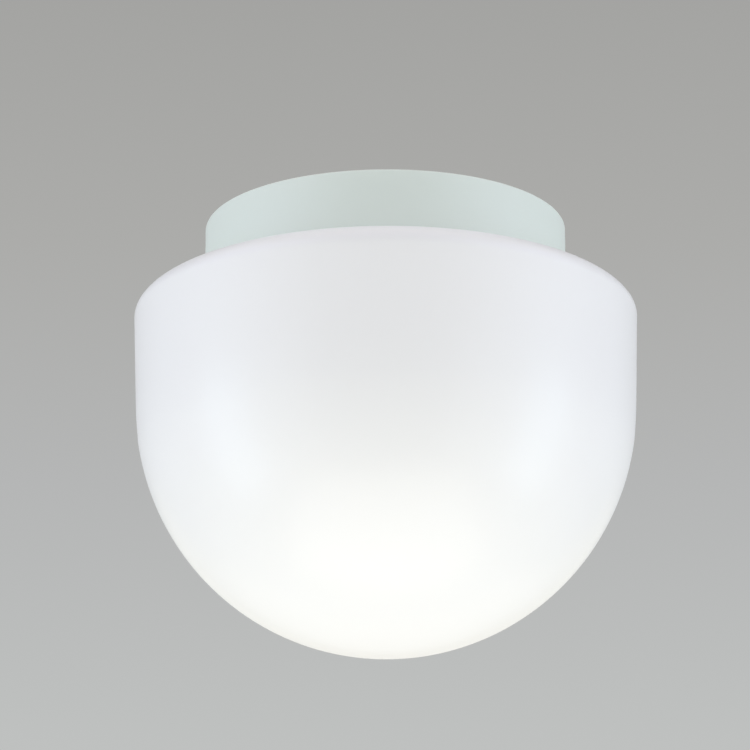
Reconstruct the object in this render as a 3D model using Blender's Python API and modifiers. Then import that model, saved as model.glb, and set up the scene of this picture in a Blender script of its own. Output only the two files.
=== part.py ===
"""Small LED ceiling light: a painted pan screws to the ceiling and an opal cover screws
into the pan on a coarse helical thread.

Metres, +Z up. The origin is the middle of the face that meets the ceiling, and the light
hangs below it. Run it with: blender --background --python part.py
"""

import math

import bmesh
import bpy
from mathutils import Matrix, Vector

# Clearances and cutting
SEAT_GAP = 0.0003            # between a piece and what carries it
CUT_OVERRUN = 0.001          # how far a cutter runs past the face that it opens
JOIN_DEPTH = 0.0008          # how far a joined shape starts inside its carrier
MERGE_DISTANCE = 0.00001     # points of a turned shape closer than this are one

# Roundness of the turned pieces
ROUND_SEGMENTS = 48
MEDIUM_SEGMENTS = 28
SMALL_SEGMENTS = 12
STADIUM_SEGMENTS = 16
BOX_EDGE_STEPS = 2
SMOOTH_ANGLE = math.radians(35)

# Pan
PAN_RADIUS = 0.065
PAN_HEIGHT = 0.022
PAN_WALL = 0.0026
PAN_BACK = 0.003
PAN_EDGE = 0.001
PAN_EDGE_STEPS = 3
BORE_DEPTH = 0.0042

# Coarse thread between the pan and the cover
THREAD_PITCH = 0.0045
THREAD_TURNS = 1.75
THREAD_HEIGHT = 0.0018       # how far the ridge stands out of its wall
THREAD_PLAY = 0.0007         # between a ridge and the wall that faces it
THREAD_ROOT_WIDTH = 0.0024
THREAD_CREST_WIDTH = 0.0009
THREAD_LIFT = 0.0034         # lowest turn above the pan's rim
RUN_OUT_STEPS = 5
RUN_OUT_SINK_SHARE = 1 / 6   # of the ridge's section, left standing in its wall at the ends

# Opal cover
COVER_RADIUS = 0.090
COVER_WALL = 0.0025
SHOULDER_LEDGE = 0.0031      # flat roof round the neck, under the packing
SHOULDER_DROP = 0.0114
SIDE_HEIGHT = 0.0315
SIDE_DRAFT = 0.0011
BOWL_DEPTH = 0.0894
NECK_HEIGHT = 0.0150
NECK_WALL = 0.0024
NECK_LIP = 0.0005
BOWL_STEPS = 11
SHOULDER_STEPS = 5

# Packings
PACKING_THICKNESS = 0.0008
PACKING_INSET = 0.0004
FOAM_INSET = 0.0053          # pan's outer wall to the foam ring
FOAM_WIDTH = 0.0074
FOAM_THICKNESS = 0.0012

# Screws, all of one size
SCREW_RADIUS = 0.0015
SCREW_LENGTH = 0.005
SCREW_HEAD_RADIUS = 0.0028
SCREW_HEAD_HEIGHT = 0.002
SCREW_HEAD_EDGE = 0.0007

# Ceiling fixing slots and the cable entry
SLOT_SPACING = 0.0667
SLOT_HALF_WIDTH = 0.0038
SLOT_HALF_RUN = 0.0027
BUSH_WALL = 0.0011
BUSH_LIP = 0.0012
BUSH_LIP_THICKNESS = 0.001
CABLE_ENTRY_SHARES = (0.348, 0.435)        # of the neck's bore
GROMMET_NECK_RADIUS = 0.0092
GROMMET_LIP_RADIUS = 0.0112
GROMMET_LIP_THICKNESS = 0.0016
GROMMET_SLEEVE_HEIGHT = 0.009
GROMMET_SLEEVE_RADIUS = 0.0058
GROMMET_SLEEVE_TAPER = 0.0011
GROMMET_BORE_RADIUS = 0.0042

# Terminal block
TERMINAL_PLACE_SHARES = (-0.226, 0.435)    # of the neck's bore
TERMINAL_SIZE = Vector((0.026, 0.018, 0.014))
TERMINAL_EDGE = 0.0008
TERMINAL_EAR_RADIUS = 0.0036
TERMINAL_EAR_THICKNESS = 0.0025
TERMINAL_BOSS_HEIGHT = 0.004
WIRE_ENTRY_RADIUS = 0.0016
WIRE_SPACING = 0.008
CONTACT_SIZE = Vector((0.0114, 0.0034, 0.006))
CONTACT_DEPTH = 0.0035       # ceiling side of the block to the contact
CONTACT_SHEET = 0.0008
BUTTON_WIDTH = 0.005
BUTTON_LENGTH = 0.012
BUTTON_LIP = 0.0007
BUTTON_LIP_THICKNESS = 0.0012
BUTTON_TRAVEL = 0.0012
BUTTON_STANDOUT = 0.0016

# Earth point
EARTH_OFFSET = Vector((0.005, -0.0084))    # from the terminal block's lower ear
EARTH_BOSS_HEIGHT = 0.005
EARTH_WASHER_RADIUS = 0.0042
EARTH_WASHER_THICKNESS = 0.0008

# Driver
DRIVER_PLACE_SHARES = (0, -0.452)          # of the neck's bore
DRIVER_BOARD_SHARES = (1.078, 0.522)       # of the neck's bore
DRIVER_BOARD_THICKNESS = 0.0016
DRIVER_POST_HEIGHT = 0.0032
DRIVER_POST_INSET = 0.0038
BOSS_RADIUS = 0.0033
DRIVER_COVER_WALL = 0.0012
DRIVER_COVER_HEADROOM = 0.003              # between the cover and the carrier plate
DRIVER_COVER_EDGE = 0.0016
DRIVER_COVER_EDGE_STEPS = 3
DRIVER_EAR_SPACING_SHARE = 0.615           # of the cover's length
DRIVER_EAR_REACH = 0.004
DRIVER_EAR_RADIUS = 0.0038
DRIVER_EAR_THICKNESS = 0.002
DRIVER_BOSS_HEIGHT = 0.006
LEAD_WINDOW = Vector((0.007, 0.004))
HEADER_SIZE = Vector((0.008, 0.006, 0.006))
HEADER_MARGIN = 0.0002       # header's end to the board's corner
CORE_LENGTH = 0.017
CORE_WIDTH = 0.010
CORE_HEADROOM = 0.0024       # between the core and the driver cover
CORE_YOKE = 0.0028
CORE_LEG_RADIUS = 0.003
WINDING_RADIUS = 0.0066
WINDING_GAP = 0.0004
CAPACITOR_RADIUS = 0.004
CAPACITOR_HEADROOM = 0.0034
CAPACITOR_EDGE = 0.0005
CHOKE_RADIUS = 0.004
CHOKE_WAIST_RADIUS = 0.0031
CHOKE_FLANGE = 0.0012
CHOKE_HEIGHT = 0.009
CHIP_SIZE = Vector((0.006, 0.0045, 0.0018))
FUSE_RADIUS = 0.0014
FUSE_LENGTH = 0.0066
FUSE_END_RADIUS = 0.0011

# Light unit: carrier plate, light board and lens
PLATE_CLEARANCE = 0.0035     # between the plate's rim and the neck that passes it
PLATE_DEPTH = 0.0275         # ceiling to the plate's upper face
PLATE_THICKNESS = 0.0015
PLATE_RIM_HEIGHT = 0.0024
PLATE_SCREW_INSET = 0.0058
POST_TOP_RADIUS = 0.0042
POST_TIP_RADIUS = 0.0034
POST_COUNT = 3
LEAD_HOLE = Vector((0.010, 0.012))
LEAD_HOLE_RADIUS = 0.0032
BOARD_INSET = 0.0125         # plate's rim to the light board's edge
BOARD_THICKNESS = 0.0012
BOARD_SCREW_INSET = 0.012
DIODE_SIZE = Vector((0.005, 0.005, 0.0009))
DIODE_INSET = 0.006
DIODE_COUNT = 9
CONNECTOR_SIZE = Vector((0.007, 0.006, 0.0035))
CONNECTOR_REACH = 0.0095     # lead hole's centre to the connector's middle
LENS_WALL = 0.0016
LENS_FLANGE = 0.0016
LENS_CROWN = 0.0105
LENS_EAR_RADIUS = 0.0042
LENS_STEPS = 5

# Leads inside the housing
SUPPLY_LEAD_RADIUS = 0.0008
LIGHT_LEAD_RADIUS = 0.0007
LEAD_SPACING = 0.0022
LEAD_STANDOFF = 0.0046       # driver cover's side to the supply leads that pass it
LEAD_BEND = 0.0034
BEND_STEPS = 4
LEAD_FINISHES = ("black_lead", "white_lead")

# Places that follow from the sizes
PAN_INNER_RADIUS = PAN_RADIUS - PAN_WALL
PAN_FLOOR = -PAN_BACK
PAN_RIM = -PAN_HEIGHT
NECK_RADIUS = PAN_INNER_RADIUS - THREAD_HEIGHT - THREAD_PLAY
NECK_BORE_RADIUS = NECK_RADIUS - NECK_WALL
SHOULDER_SPREAD = COVER_RADIUS - NECK_RADIUS - SHOULDER_LEDGE
FOAM_OUTER_RADIUS = PAN_RADIUS - FOAM_INSET
FOAM_INNER_RADIUS = FOAM_OUTER_RADIUS - FOAM_WIDTH
PACKING_TOP = PAN_RIM - SEAT_GAP
COVER_ROOF = PACKING_TOP - PACKING_THICKNESS - SEAT_GAP
SIDE_TOP = COVER_ROOF - SHOULDER_DROP
SIDE_BOTTOM = SIDE_TOP - SIDE_HEIGHT
THREAD_START = PAN_RIM + THREAD_LIFT
SCREW_HOLE_RADIUS = SCREW_RADIUS + SEAT_GAP
CABLE_ENTRY = NECK_BORE_RADIUS * Vector(CABLE_ENTRY_SHARES)
TERMINAL_CENTRE = NECK_BORE_RADIUS * Vector(TERMINAL_PLACE_SHARES)
DRIVER_CENTRE = NECK_BORE_RADIUS * Vector(DRIVER_PLACE_SHARES)
DRIVER_BOARD_SIZE = Vector((
    NECK_BORE_RADIUS * DRIVER_BOARD_SHARES[0],
    NECK_BORE_RADIUS * DRIVER_BOARD_SHARES[1],
    DRIVER_BOARD_THICKNESS,
))
EARTH_POINT = TERMINAL_CENTRE + EARTH_OFFSET - Vector((
    0, TERMINAL_SIZE.y / 2 + TERMINAL_EAR_RADIUS,
))
PLATE_RADIUS = NECK_BORE_RADIUS - PLATE_CLEARANCE
PLATE_TOP = -PLATE_DEPTH
PLATE_BOTTOM = PLATE_TOP - PLATE_THICKNESS
PLATE_SCREW_CIRCLE = PLATE_RADIUS - PLATE_SCREW_INSET
BOARD_TOP = PLATE_BOTTOM - SEAT_GAP
BOARD_BOTTOM = BOARD_TOP - BOARD_THICKNESS
BOARD_RADIUS = PLATE_RADIUS - BOARD_INSET
BOARD_SCREW_CIRCLE = BOARD_RADIUS - BOARD_SCREW_INSET
DIODE_RING_RADIUS = BOARD_RADIUS - DIODE_INSET
LENS_INNER_RADIUS = BOARD_RADIUS + SEAT_GAP
LENS_OUTER_RADIUS = LENS_INNER_RADIUS + LENS_WALL
TERMINAL_TOP = PAN_FLOOR - SEAT_GAP
TERMINAL_BOTTOM = TERMINAL_TOP - TERMINAL_SIZE.z
CONTACT_TOP = TERMINAL_TOP - CONTACT_DEPTH
CONTACT_BOTTOM = CONTACT_TOP - CONTACT_SIZE.z
CONTACT_LEVEL = (CONTACT_TOP + CONTACT_BOTTOM) / 2
TERMINAL_EAR_TOP = PAN_FLOOR - TERMINAL_BOSS_HEIGHT - SEAT_GAP
DRIVER_BOARD_TOP = PAN_FLOOR - DRIVER_POST_HEIGHT - SEAT_GAP
DRIVER_BOARD_BOTTOM = DRIVER_BOARD_TOP - DRIVER_BOARD_SIZE.z
PART_LEVEL = DRIVER_BOARD_BOTTOM - SEAT_GAP
HEADER_LEVEL = PART_LEVEL - HEADER_SIZE.z / 2
DRIVER_EAR_TOP = PAN_FLOOR - DRIVER_BOSS_HEIGHT - SEAT_GAP
DRIVER_COVER_BOTTOM = PLATE_TOP + DRIVER_COVER_HEADROOM
DRIVER_COVER_SIZE = Vector((
    DRIVER_BOARD_SIZE.x + 2 * (SEAT_GAP + DRIVER_COVER_WALL),
    DRIVER_BOARD_SIZE.y + 2 * (SEAT_GAP + DRIVER_COVER_WALL),
    PAN_FLOOR - SEAT_GAP - DRIVER_COVER_BOTTOM,
))
DRIVER_ROOM = PART_LEVEL - DRIVER_COVER_BOTTOM - DRIVER_COVER_WALL
CORE_SIZE = Vector((CORE_LENGTH, CORE_WIDTH, DRIVER_ROOM - CORE_HEADROOM))
CAPACITOR_HEIGHT = DRIVER_ROOM - CAPACITOR_HEADROOM
DRIVER_EAR_SPACING = DRIVER_COVER_SIZE.x * DRIVER_EAR_SPACING_SHARE
DRIVER_EAR_Y = DRIVER_CENTRE.y + DRIVER_COVER_SIZE.y / 2 + DRIVER_EAR_REACH

# Where the driver's parts stand, as shares of the half board from its middle
CORE_PLACE_SHARES = (0.14, -0.28)
CAPACITOR_PLACE_SHARES = ((-0.42, -0.60), (-0.66, -0.10))
CHOKE_PLACE_SHARES = (0.72, 0.05)
CHIP_PLACE_SHARES = ((-0.34, 0.30), (0.72, -0.62))
FUSE_PLACE_SHARES = (-0.12, 0.66)

COLLECTION_NAME = "led_ceiling_light"
CUTTER_COLLECTION_NAME = "led_ceiling_light_cutters"

# Colour, roughness and metallic value of each material
FINISHES = {
    "pan_paint": ((0.78, 0.83, 0.81, 1), 0.45, 0.0),
    "opal_acrylic": ((0.93, 0.94, 0.94, 1), 0.22, 0.0),
    "black_foam": ((0.05, 0.05, 0.05, 1), 0.95, 0.0),
    "grey_rubber": ((0.22, 0.22, 0.23, 1), 0.80, 0.0),
    "white_plastic": ((0.85, 0.85, 0.83, 1), 0.50, 0.0),
    "orange_plastic": ((0.80, 0.28, 0.06, 1), 0.45, 0.0),
    "brass": ((0.75, 0.58, 0.28, 1), 0.30, 1.0),
    "zinc_steel": ((0.66, 0.67, 0.68, 1), 0.35, 1.0),
    "aluminium_sheet": ((0.80, 0.81, 0.82, 1), 0.40, 1.0),
    "green_board": ((0.05, 0.22, 0.10, 1), 0.45, 0.0),
    "white_board": ((0.88, 0.88, 0.86, 1), 0.40, 0.0),
    "ferrite": ((0.09, 0.09, 0.10, 1), 0.60, 0.0),
    "yellow_tape": ((0.80, 0.62, 0.10, 1), 0.50, 0.0),
    "capacitor_sleeve": ((0.06, 0.06, 0.12, 1), 0.40, 0.0),
    "copper_wire": ((0.62, 0.28, 0.14, 1), 0.35, 1.0),
    "chip_resin": ((0.04, 0.04, 0.04, 1), 0.50, 0.0),
    "fuse_ceramic": ((0.55, 0.68, 0.62, 1), 0.55, 0.0),
    "diode_resin": ((0.90, 0.78, 0.30, 1), 0.30, 0.0),
    "clear_lens": ((0.92, 0.94, 0.95, 0.4), 0.10, 0.0),
    "black_lead": ((0.03, 0.03, 0.03, 1), 0.55, 0.0),
    "white_lead": ((0.82, 0.82, 0.80, 1), 0.55, 0.0),
}


def clear_scene():
    """Remove every object so that a second run starts from nothing."""
    for item in list(bpy.data.objects):
        bpy.data.objects.remove(item, do_unlink=True)


def make_collection(name):
    """Return a new collection linked to the scene."""
    collection = bpy.data.collections.new(name)
    bpy.context.scene.collection.children.link(collection)
    return collection


def make_material(finish):
    """Return the Principled material of a named finish."""
    known = bpy.data.materials.get(finish)
    if known:
        return known
    colour, roughness, metallic = FINISHES[finish]
    material = bpy.data.materials.new(finish)
    material.use_nodes = True
    shader = material.node_tree.nodes["Principled BSDF"]
    shader.inputs["Base Color"].default_value = colour
    shader.inputs["Roughness"].default_value = roughness
    shader.inputs["Metallic"].default_value = metallic
    shader.inputs["Alpha"].default_value = colour[3]
    material.diffuse_color = colour
    return material


def add_part(name, mesh, finish, location=(0, 0, 0)):
    """Put a mesh in the parts collection as a named piece."""
    part = bpy.data.objects.new(name, mesh)
    mesh.materials.append(make_material(finish))
    part.location = location
    bpy.data.collections[COLLECTION_NAME].objects.link(part)
    return part


def add_cutter(name, mesh, location=(0, 0, 0), turn=0):
    """Put a mesh in the cutters collection, out of the render."""
    cutter = bpy.data.objects.new(name, mesh)
    cutter.location = location
    cutter.rotation_euler.z = turn
    cutter.hide_render = True
    cutter.display_type = "WIRE"
    bpy.data.collections[CUTTER_COLLECTION_NAME].objects.link(cutter)
    return cutter


def combine(part, other, operation):
    """Cut another object from a part, or join it on."""
    modifier = part.modifiers.new(other.name, "BOOLEAN")
    modifier.operation = operation
    modifier.solver = "EXACT"
    modifier.object = other


def cut(part, cutter):
    """Cut a cutter out of a part."""
    combine(part, cutter, "DIFFERENCE")


def join(part, addition):
    """Fuse an addition to a part."""
    combine(part, addition, "UNION")


def finish_mesh(name, bm, smooth=False):
    """Turn a bmesh into a mesh, smooth on its round faces where asked."""
    bmesh.ops.recalc_face_normals(bm, faces=bm.faces)
    mesh = bpy.data.meshes.new(name)
    bm.to_mesh(mesh)
    bm.free()
    if smooth:
        mesh.shade_smooth()
        mesh.set_sharp_from_angle(angle=SMOOTH_ANGLE)
    return mesh


def box_bmesh(size, centre=(0, 0, 0)):
    """Return a bmesh box of a size about a centre."""
    bm = bmesh.new()
    matrix = Matrix.Translation(centre) @ Matrix.Diagonal((*size, 1))
    bmesh.ops.create_cube(bm, size=1, matrix=matrix)
    return bm


def box_mesh(name, size, edge=0):
    """Return a box mesh, its edges rounded where an edge radius is given."""
    bm = box_bmesh(size)
    if edge:
        bmesh.ops.bevel(
            bm, geom=bm.edges[:], offset=edge, segments=BOX_EDGE_STEPS,
            profile=0.5, affect="EDGES",
        )
    return finish_mesh(name, bm)


def cone_bmesh(top_radius, bottom_radius, height, segments):
    """Return a bmesh cone that hangs down from its origin."""
    bm = bmesh.new()
    matrix = Matrix.Translation((0, 0, -height / 2))
    bmesh.ops.create_cone(
        bm, cap_ends=True, segments=segments,
        radius1=bottom_radius, radius2=top_radius, depth=height, matrix=matrix,
    )
    return bm


def cylinder_mesh(name, radius, height, segments=MEDIUM_SEGMENTS):
    """Return a cylinder that hangs down from its origin."""
    return finish_mesh(name, cone_bmesh(radius, radius, height, segments), smooth=True)


def stadium_bmesh(radius, half_run, height):
    """Return an upright prism with round ends, drawn out along Y, hanging from its origin."""
    bm = cone_bmesh(radius, radius, height, STADIUM_SEGMENTS)
    half_step = math.pi / STADIUM_SEGMENTS
    bmesh.ops.rotate(bm, verts=bm.verts, matrix=Matrix.Rotation(half_step, 3, "Z"))
    for vert in bm.verts:
        vert.co.y += math.copysign(half_run, vert.co.y)
    return bm


def merge_copies(name, source, places):
    """Return one mesh that holds a copy of a bmesh at each place, and free the bmesh."""
    pattern = bpy.data.meshes.new(name + "_pattern")
    source.to_mesh(pattern)
    source.free()
    merged = bmesh.new()
    for place in places:
        first = len(merged.verts)
        merged.from_mesh(pattern)
        merged.verts.ensure_lookup_table()
        bmesh.ops.translate(merged, vec=place, verts=merged.verts[first:])
    bpy.data.meshes.remove(pattern)
    return finish_mesh(name, merged, smooth=True)


def add_copies(name, mesh, finish, places, turns=None):
    """Add a numbered piece at each place, all of one mesh."""
    copies = []
    for index, place in enumerate(places):
        copy = bpy.data.objects.new(f"{name}_{index + 1}", mesh)
        copy.location = place
        copy.rotation_euler.z = turns[index] if turns else 0
        bpy.data.collections[COLLECTION_NAME].objects.link(copy)
        copies.append(copy)
    mesh.materials.append(make_material(finish))
    return copies


def circle_places(radius, count, height, start=0):
    """Return evenly spaced places on a circle."""
    places = []
    for index in range(count):
        angle = start + math.tau * index / count
        places.append(Vector((radius * math.cos(angle), radius * math.sin(angle), height)))
    return places


def arc_points(centre, radii, first, last, steps):
    """Return points on an ellipse in the profile plane, from one angle to another."""
    points = []
    for step in range(steps + 1):
        angle = first + (last - first) * step / steps
        points.append((
            centre[0] + radii[0] * math.cos(angle),
            centre[1] + radii[1] * math.sin(angle),
        ))
    return points


def profile_mesh(name, points, closed):
    """Return the edges of a profile drawn as radius and height."""
    bm = bmesh.new()
    verts = [bm.verts.new((radius, 0, height)) for radius, height in points]
    for first, second in zip(verts, verts[1:]):
        bm.edges.new((first, second))
    if closed:
        bm.edges.new((verts[-1], verts[0]))
    mesh = bpy.data.meshes.new(name)
    bm.to_mesh(mesh)
    bm.free()
    return mesh


def turn_profile(part, segments):
    """Turn a profile about Z with a Screw modifier."""
    screw = part.modifiers.new("turned", "SCREW")
    screw.axis = "Z"
    screw.steps = segments
    screw.render_steps = segments
    screw.use_merge_vertices = True
    screw.merge_threshold = MERGE_DISTANCE
    screw.use_smooth_shade = True


def add_turned(name, points, finish, closed=False, segments=ROUND_SEGMENTS, location=(0, 0, 0)):
    """Add a turned piece. Its profile runs down the outer side."""
    part = add_part(name, profile_mesh(name, points, closed), finish, location)
    turn_profile(part, segments)
    return part


def screw_mesh():
    """Return the mesh of a pan-head screw, head down, with its seat at the origin."""
    known = bpy.data.meshes.get("screw")
    if known:
        return known
    profile = [
        (0, SCREW_LENGTH),
        (SCREW_RADIUS, SCREW_LENGTH),
        (SCREW_RADIUS, 0),
        (SCREW_HEAD_RADIUS, 0),
        (SCREW_HEAD_RADIUS, SCREW_HEAD_EDGE - SCREW_HEAD_HEIGHT),
        (SCREW_HEAD_RADIUS - SCREW_HEAD_EDGE, -SCREW_HEAD_HEIGHT),
        (0, -SCREW_HEAD_HEIGHT),
    ]
    bm = bmesh.new()
    verts = [bm.verts.new((radius, 0, height)) for radius, height in profile]
    edges = [bm.edges.new(pair) for pair in zip(verts, verts[1:])]
    bmesh.ops.spin(
        bm, geom=verts + edges, cent=(0, 0, 0), axis=(0, 0, 1),
        angle=math.tau, steps=SMALL_SEGMENTS, use_merge=True,
    )
    bmesh.ops.remove_doubles(bm, verts=bm.verts, dist=MERGE_DISTANCE)
    mesh = finish_mesh("screw", bm, smooth=True)
    mesh.materials.append(make_material("zinc_steel"))
    return mesh


def add_screws(name, seats):
    """Add a screw under each of the given seats."""
    for index, seat in enumerate(seats):
        label = f"{name}_{index + 1}" if len(seats) > 1 else name
        screw = bpy.data.objects.new(label, screw_mesh())
        screw.location = Vector(seat) - Vector((0, 0, SEAT_GAP))
        bpy.data.collections[COLLECTION_NAME].objects.link(screw)


def hole_cutter(name, places, radius, depth):
    """Return a cutter of round holes that run up from the given places.

    The holes are turned half a step, so that none has a corner on a line from the axis.
    """
    bm = cone_bmesh(radius, radius, depth + CUT_OVERRUN, SMALL_SEGMENTS)
    half_step = math.pi / SMALL_SEGMENTS
    bmesh.ops.rotate(bm, verts=bm.verts, matrix=Matrix.Rotation(half_step, 3, "Z"))
    bmesh.ops.translate(bm, verts=bm.verts, vec=(0, 0, depth))
    return add_cutter(name, merge_copies(name, bm, places))


def helical_ridge(name, wall_radius, side, turn):
    """Return the ridge of the coarse thread as a joining shape.

    The section is a trapezoid that starts inside its wall. It climbs one pitch in each
    counterclockwise turn, and runs out into the wall at both ends. side is 1 for a ridge
    that stands outwards and -1 for one that stands inwards. Its facets lie half a step
    away from those of the wall.
    """
    half_step = math.pi / ROUND_SEGMENTS
    root = wall_radius - side * JOIN_DEPTH
    crest = wall_radius + side * THREAD_HEIGHT
    section = [
        (root, -THREAD_ROOT_WIDTH / 2),
        (crest, -THREAD_CREST_WIDTH / 2),
        (crest, THREAD_CREST_WIDTH / 2),
        (root, THREAD_ROOT_WIDTH / 2),
    ]
    steps = round(THREAD_TURNS * ROUND_SEGMENTS)
    bm = bmesh.new()
    face = bm.faces.new([bm.verts.new((radius, 0, height)) for radius, height in section])
    bmesh.ops.spin(
        bm, geom=[face], cent=(0, 0, 0), axis=(0, 0, 1),
        dvec=(0, 0, THREAD_PITCH / ROUND_SEGMENTS),
        angle=math.tau * steps / ROUND_SEGMENTS, steps=steps,
    )
    sink_run_outs(bm, len(section), steps, root, crest)
    return add_cutter(name, finish_mesh(name, bm), (0, 0, THREAD_START), turn + half_step)


def sink_run_outs(bm, corners, steps, root, crest):
    """Draw a ridge's crest back into its wall over the first and last steps."""
    buried = root + (crest - root) * RUN_OUT_SINK_SHARE
    middle = (root + crest) / 2
    bm.verts.index_update()
    for vert in bm.verts:
        station = vert.index // corners
        rise = min(1, station / RUN_OUT_STEPS, (steps - station) / RUN_OUT_STEPS)
        radius = vert.co.xy.length
        on_crest = abs(radius - crest) < abs(middle - crest)
        if on_crest and rise < 1:
            vert.co.xy *= (buried + (crest - buried) * rise) / radius


def board_place(shares, level):
    """Return a place on the driver board from shares of its half sizes."""
    return Vector((
        DRIVER_CENTRE.x + shares[0] * DRIVER_BOARD_SIZE.x / 2,
        DRIVER_CENTRE.y + shares[1] * DRIVER_BOARD_SIZE.y / 2,
        level,
    ))


def plate_screw_places(height):
    """Return the places of the screws that hold the carrier plate."""
    return circle_places(PLATE_SCREW_CIRCLE, POST_COUNT, height, math.pi / 2)


def lens_screw_places(height):
    """Return the places of the lens screws, midway between the plate screws."""
    start = math.pi / 2 + math.pi / POST_COUNT
    return circle_places(PLATE_SCREW_CIRCLE, POST_COUNT, height, start)


def board_screw_places(height):
    """Return the places of the light board's screws."""
    start = math.pi / 2 + math.pi / POST_COUNT
    return circle_places(BOARD_SCREW_CIRCLE, POST_COUNT, height, start)


def slot_places(height):
    """Return the centres of the two ceiling fixing slots."""
    return [Vector((side * SLOT_SPACING / 2, 0, height)) for side in (-1, 1)]


def driver_corner_places(height):
    """Return the corners where posts carry the driver board."""
    reach_x = DRIVER_BOARD_SIZE.x / 2 - DRIVER_POST_INSET
    reach_y = DRIVER_BOARD_SIZE.y / 2 - DRIVER_POST_INSET
    places = []
    for side_x, side_y in ((-1, -1), (1, 1), (-1, 1), (1, -1)):
        places.append(Vector((
            DRIVER_CENTRE.x + side_x * reach_x, DRIVER_CENTRE.y + side_y * reach_y, height,
        )))
    return places


def driver_ear_places(height):
    """Return the centres of the driver cover's two ears."""
    return [
        Vector((DRIVER_CENTRE.x + side * DRIVER_EAR_SPACING / 2, DRIVER_EAR_Y, height))
        for side in (-1, 1)
    ]


def terminal_ear_places(height):
    """Return the centres of the terminal block's two ears."""
    reach = TERMINAL_SIZE.y / 2 + TERMINAL_EAR_RADIUS
    return [
        Vector((TERMINAL_CENTRE.x, TERMINAL_CENTRE.y + side * reach, height))
        for side in (-1, 1)
    ]


def wire_rows():
    """Return the Y of the two wires in the terminal block."""
    return [TERMINAL_CENTRE.y + side * WIRE_SPACING / 2 for side in (-1, 1)]


def build_pan():
    """Build the cast pan with its posts, bosses, holes and inner thread."""
    groove_floor = -(FOAM_THICKNESS + SEAT_GAP)
    points = [
        (0, 0),
        (FOAM_INNER_RADIUS - SEAT_GAP, 0),
        (FOAM_INNER_RADIUS - SEAT_GAP, groove_floor),
        (FOAM_OUTER_RADIUS + SEAT_GAP, groove_floor),
        (FOAM_OUTER_RADIUS + SEAT_GAP, 0),
    ]
    edge_radii = (PAN_EDGE, PAN_EDGE)
    top_centre = (PAN_RADIUS - PAN_EDGE, -PAN_EDGE)
    points += arc_points(top_centre, edge_radii, math.pi / 2, 0, PAN_EDGE_STEPS)
    points += [
        (PAN_RADIUS, PAN_RIM + PAN_EDGE / 2),
        (PAN_RADIUS - PAN_EDGE / 2, PAN_RIM),
        (PAN_INNER_RADIUS + PAN_EDGE / 2, PAN_RIM),
        (PAN_INNER_RADIUS, PAN_RIM + PAN_EDGE / 2),
        (PAN_INNER_RADIUS, PAN_FLOOR),
        (0, PAN_FLOOR),
    ]
    pan = add_turned("base_pan", points, "pan_paint")
    join(pan, helical_ridge("pan_thread", PAN_INNER_RADIUS, -1, 0))
    for shapes in (pan_posts, pan_bosses, pan_short_posts):
        join(pan, shapes())
    cut(pan, hole_cutter("pan_bores", pan_bore_mouths(), SCREW_HOLE_RADIUS, BORE_DEPTH))
    cut(pan, pan_openings())
    return pan


def pan_posts():
    """Return the three tall posts that carry the light unit."""
    height = PLATE_DEPTH - PAN_BACK - SEAT_GAP + JOIN_DEPTH
    bm = cone_bmesh(POST_TOP_RADIUS, POST_TIP_RADIUS, height, SMALL_SEGMENTS)
    places = plate_screw_places(PAN_FLOOR + JOIN_DEPTH)
    return add_cutter("pan_posts", merge_copies("pan_posts", bm, places))


def pan_bosses():
    """Return the bosses of the driver cover, the terminal block and the earth point."""
    groups = [
        (driver_ear_places(PAN_FLOOR + JOIN_DEPTH), DRIVER_BOSS_HEIGHT),
        (terminal_ear_places(PAN_FLOOR + JOIN_DEPTH), TERMINAL_BOSS_HEIGHT),
        ([Vector((*EARTH_POINT, PAN_FLOOR + JOIN_DEPTH))], EARTH_BOSS_HEIGHT),
    ]
    merged = bmesh.new()
    for places, height in groups:
        bm = cone_bmesh(BOSS_RADIUS, BOSS_RADIUS, height + JOIN_DEPTH, SMALL_SEGMENTS)
        mesh = merge_copies("boss_group", bm, places)
        merged.from_mesh(mesh)
        bpy.data.meshes.remove(mesh)
    return add_cutter("pan_bosses", finish_mesh("pan_bosses", merged))


def pan_short_posts():
    """Return the four short posts under the driver board's corners."""
    bm = cone_bmesh(BOSS_RADIUS, BOSS_RADIUS, DRIVER_POST_HEIGHT + JOIN_DEPTH, SMALL_SEGMENTS)
    places = driver_corner_places(PAN_FLOOR + JOIN_DEPTH)
    return add_cutter("pan_short_posts", merge_copies("pan_short_posts", bm, places))


def pan_bore_mouths():
    """Return where each screw bore of the pan opens."""
    mouths = plate_screw_places(PLATE_TOP + SEAT_GAP)
    mouths += driver_ear_places(PAN_FLOOR - DRIVER_BOSS_HEIGHT)
    mouths += terminal_ear_places(PAN_FLOOR - TERMINAL_BOSS_HEIGHT)
    mouths += driver_corner_places(PAN_FLOOR - DRIVER_POST_HEIGHT)[:2]
    mouths.append(Vector((*EARTH_POINT, PAN_FLOOR - EARTH_BOSS_HEIGHT)))
    return mouths


def pan_openings():
    """Return the cutter of the two fixing slots and the cable entry."""
    depth = PAN_BACK + 2 * CUT_OVERRUN
    slots = merge_copies(
        "slots", stadium_bmesh(SLOT_HALF_WIDTH, SLOT_HALF_RUN, depth), slot_places(CUT_OVERRUN)
    )
    hole_radius = GROMMET_NECK_RADIUS + SEAT_GAP
    hole = merge_copies(
        "hole", cone_bmesh(hole_radius, hole_radius, depth, MEDIUM_SEGMENTS),
        [Vector((*CABLE_ENTRY, CUT_OVERRUN))],
    )
    merged = bmesh.new()
    for mesh in (slots, hole):
        merged.from_mesh(mesh)
        bpy.data.meshes.remove(mesh)
    return add_cutter("pan_openings", finish_mesh("pan_openings", merged))


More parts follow.
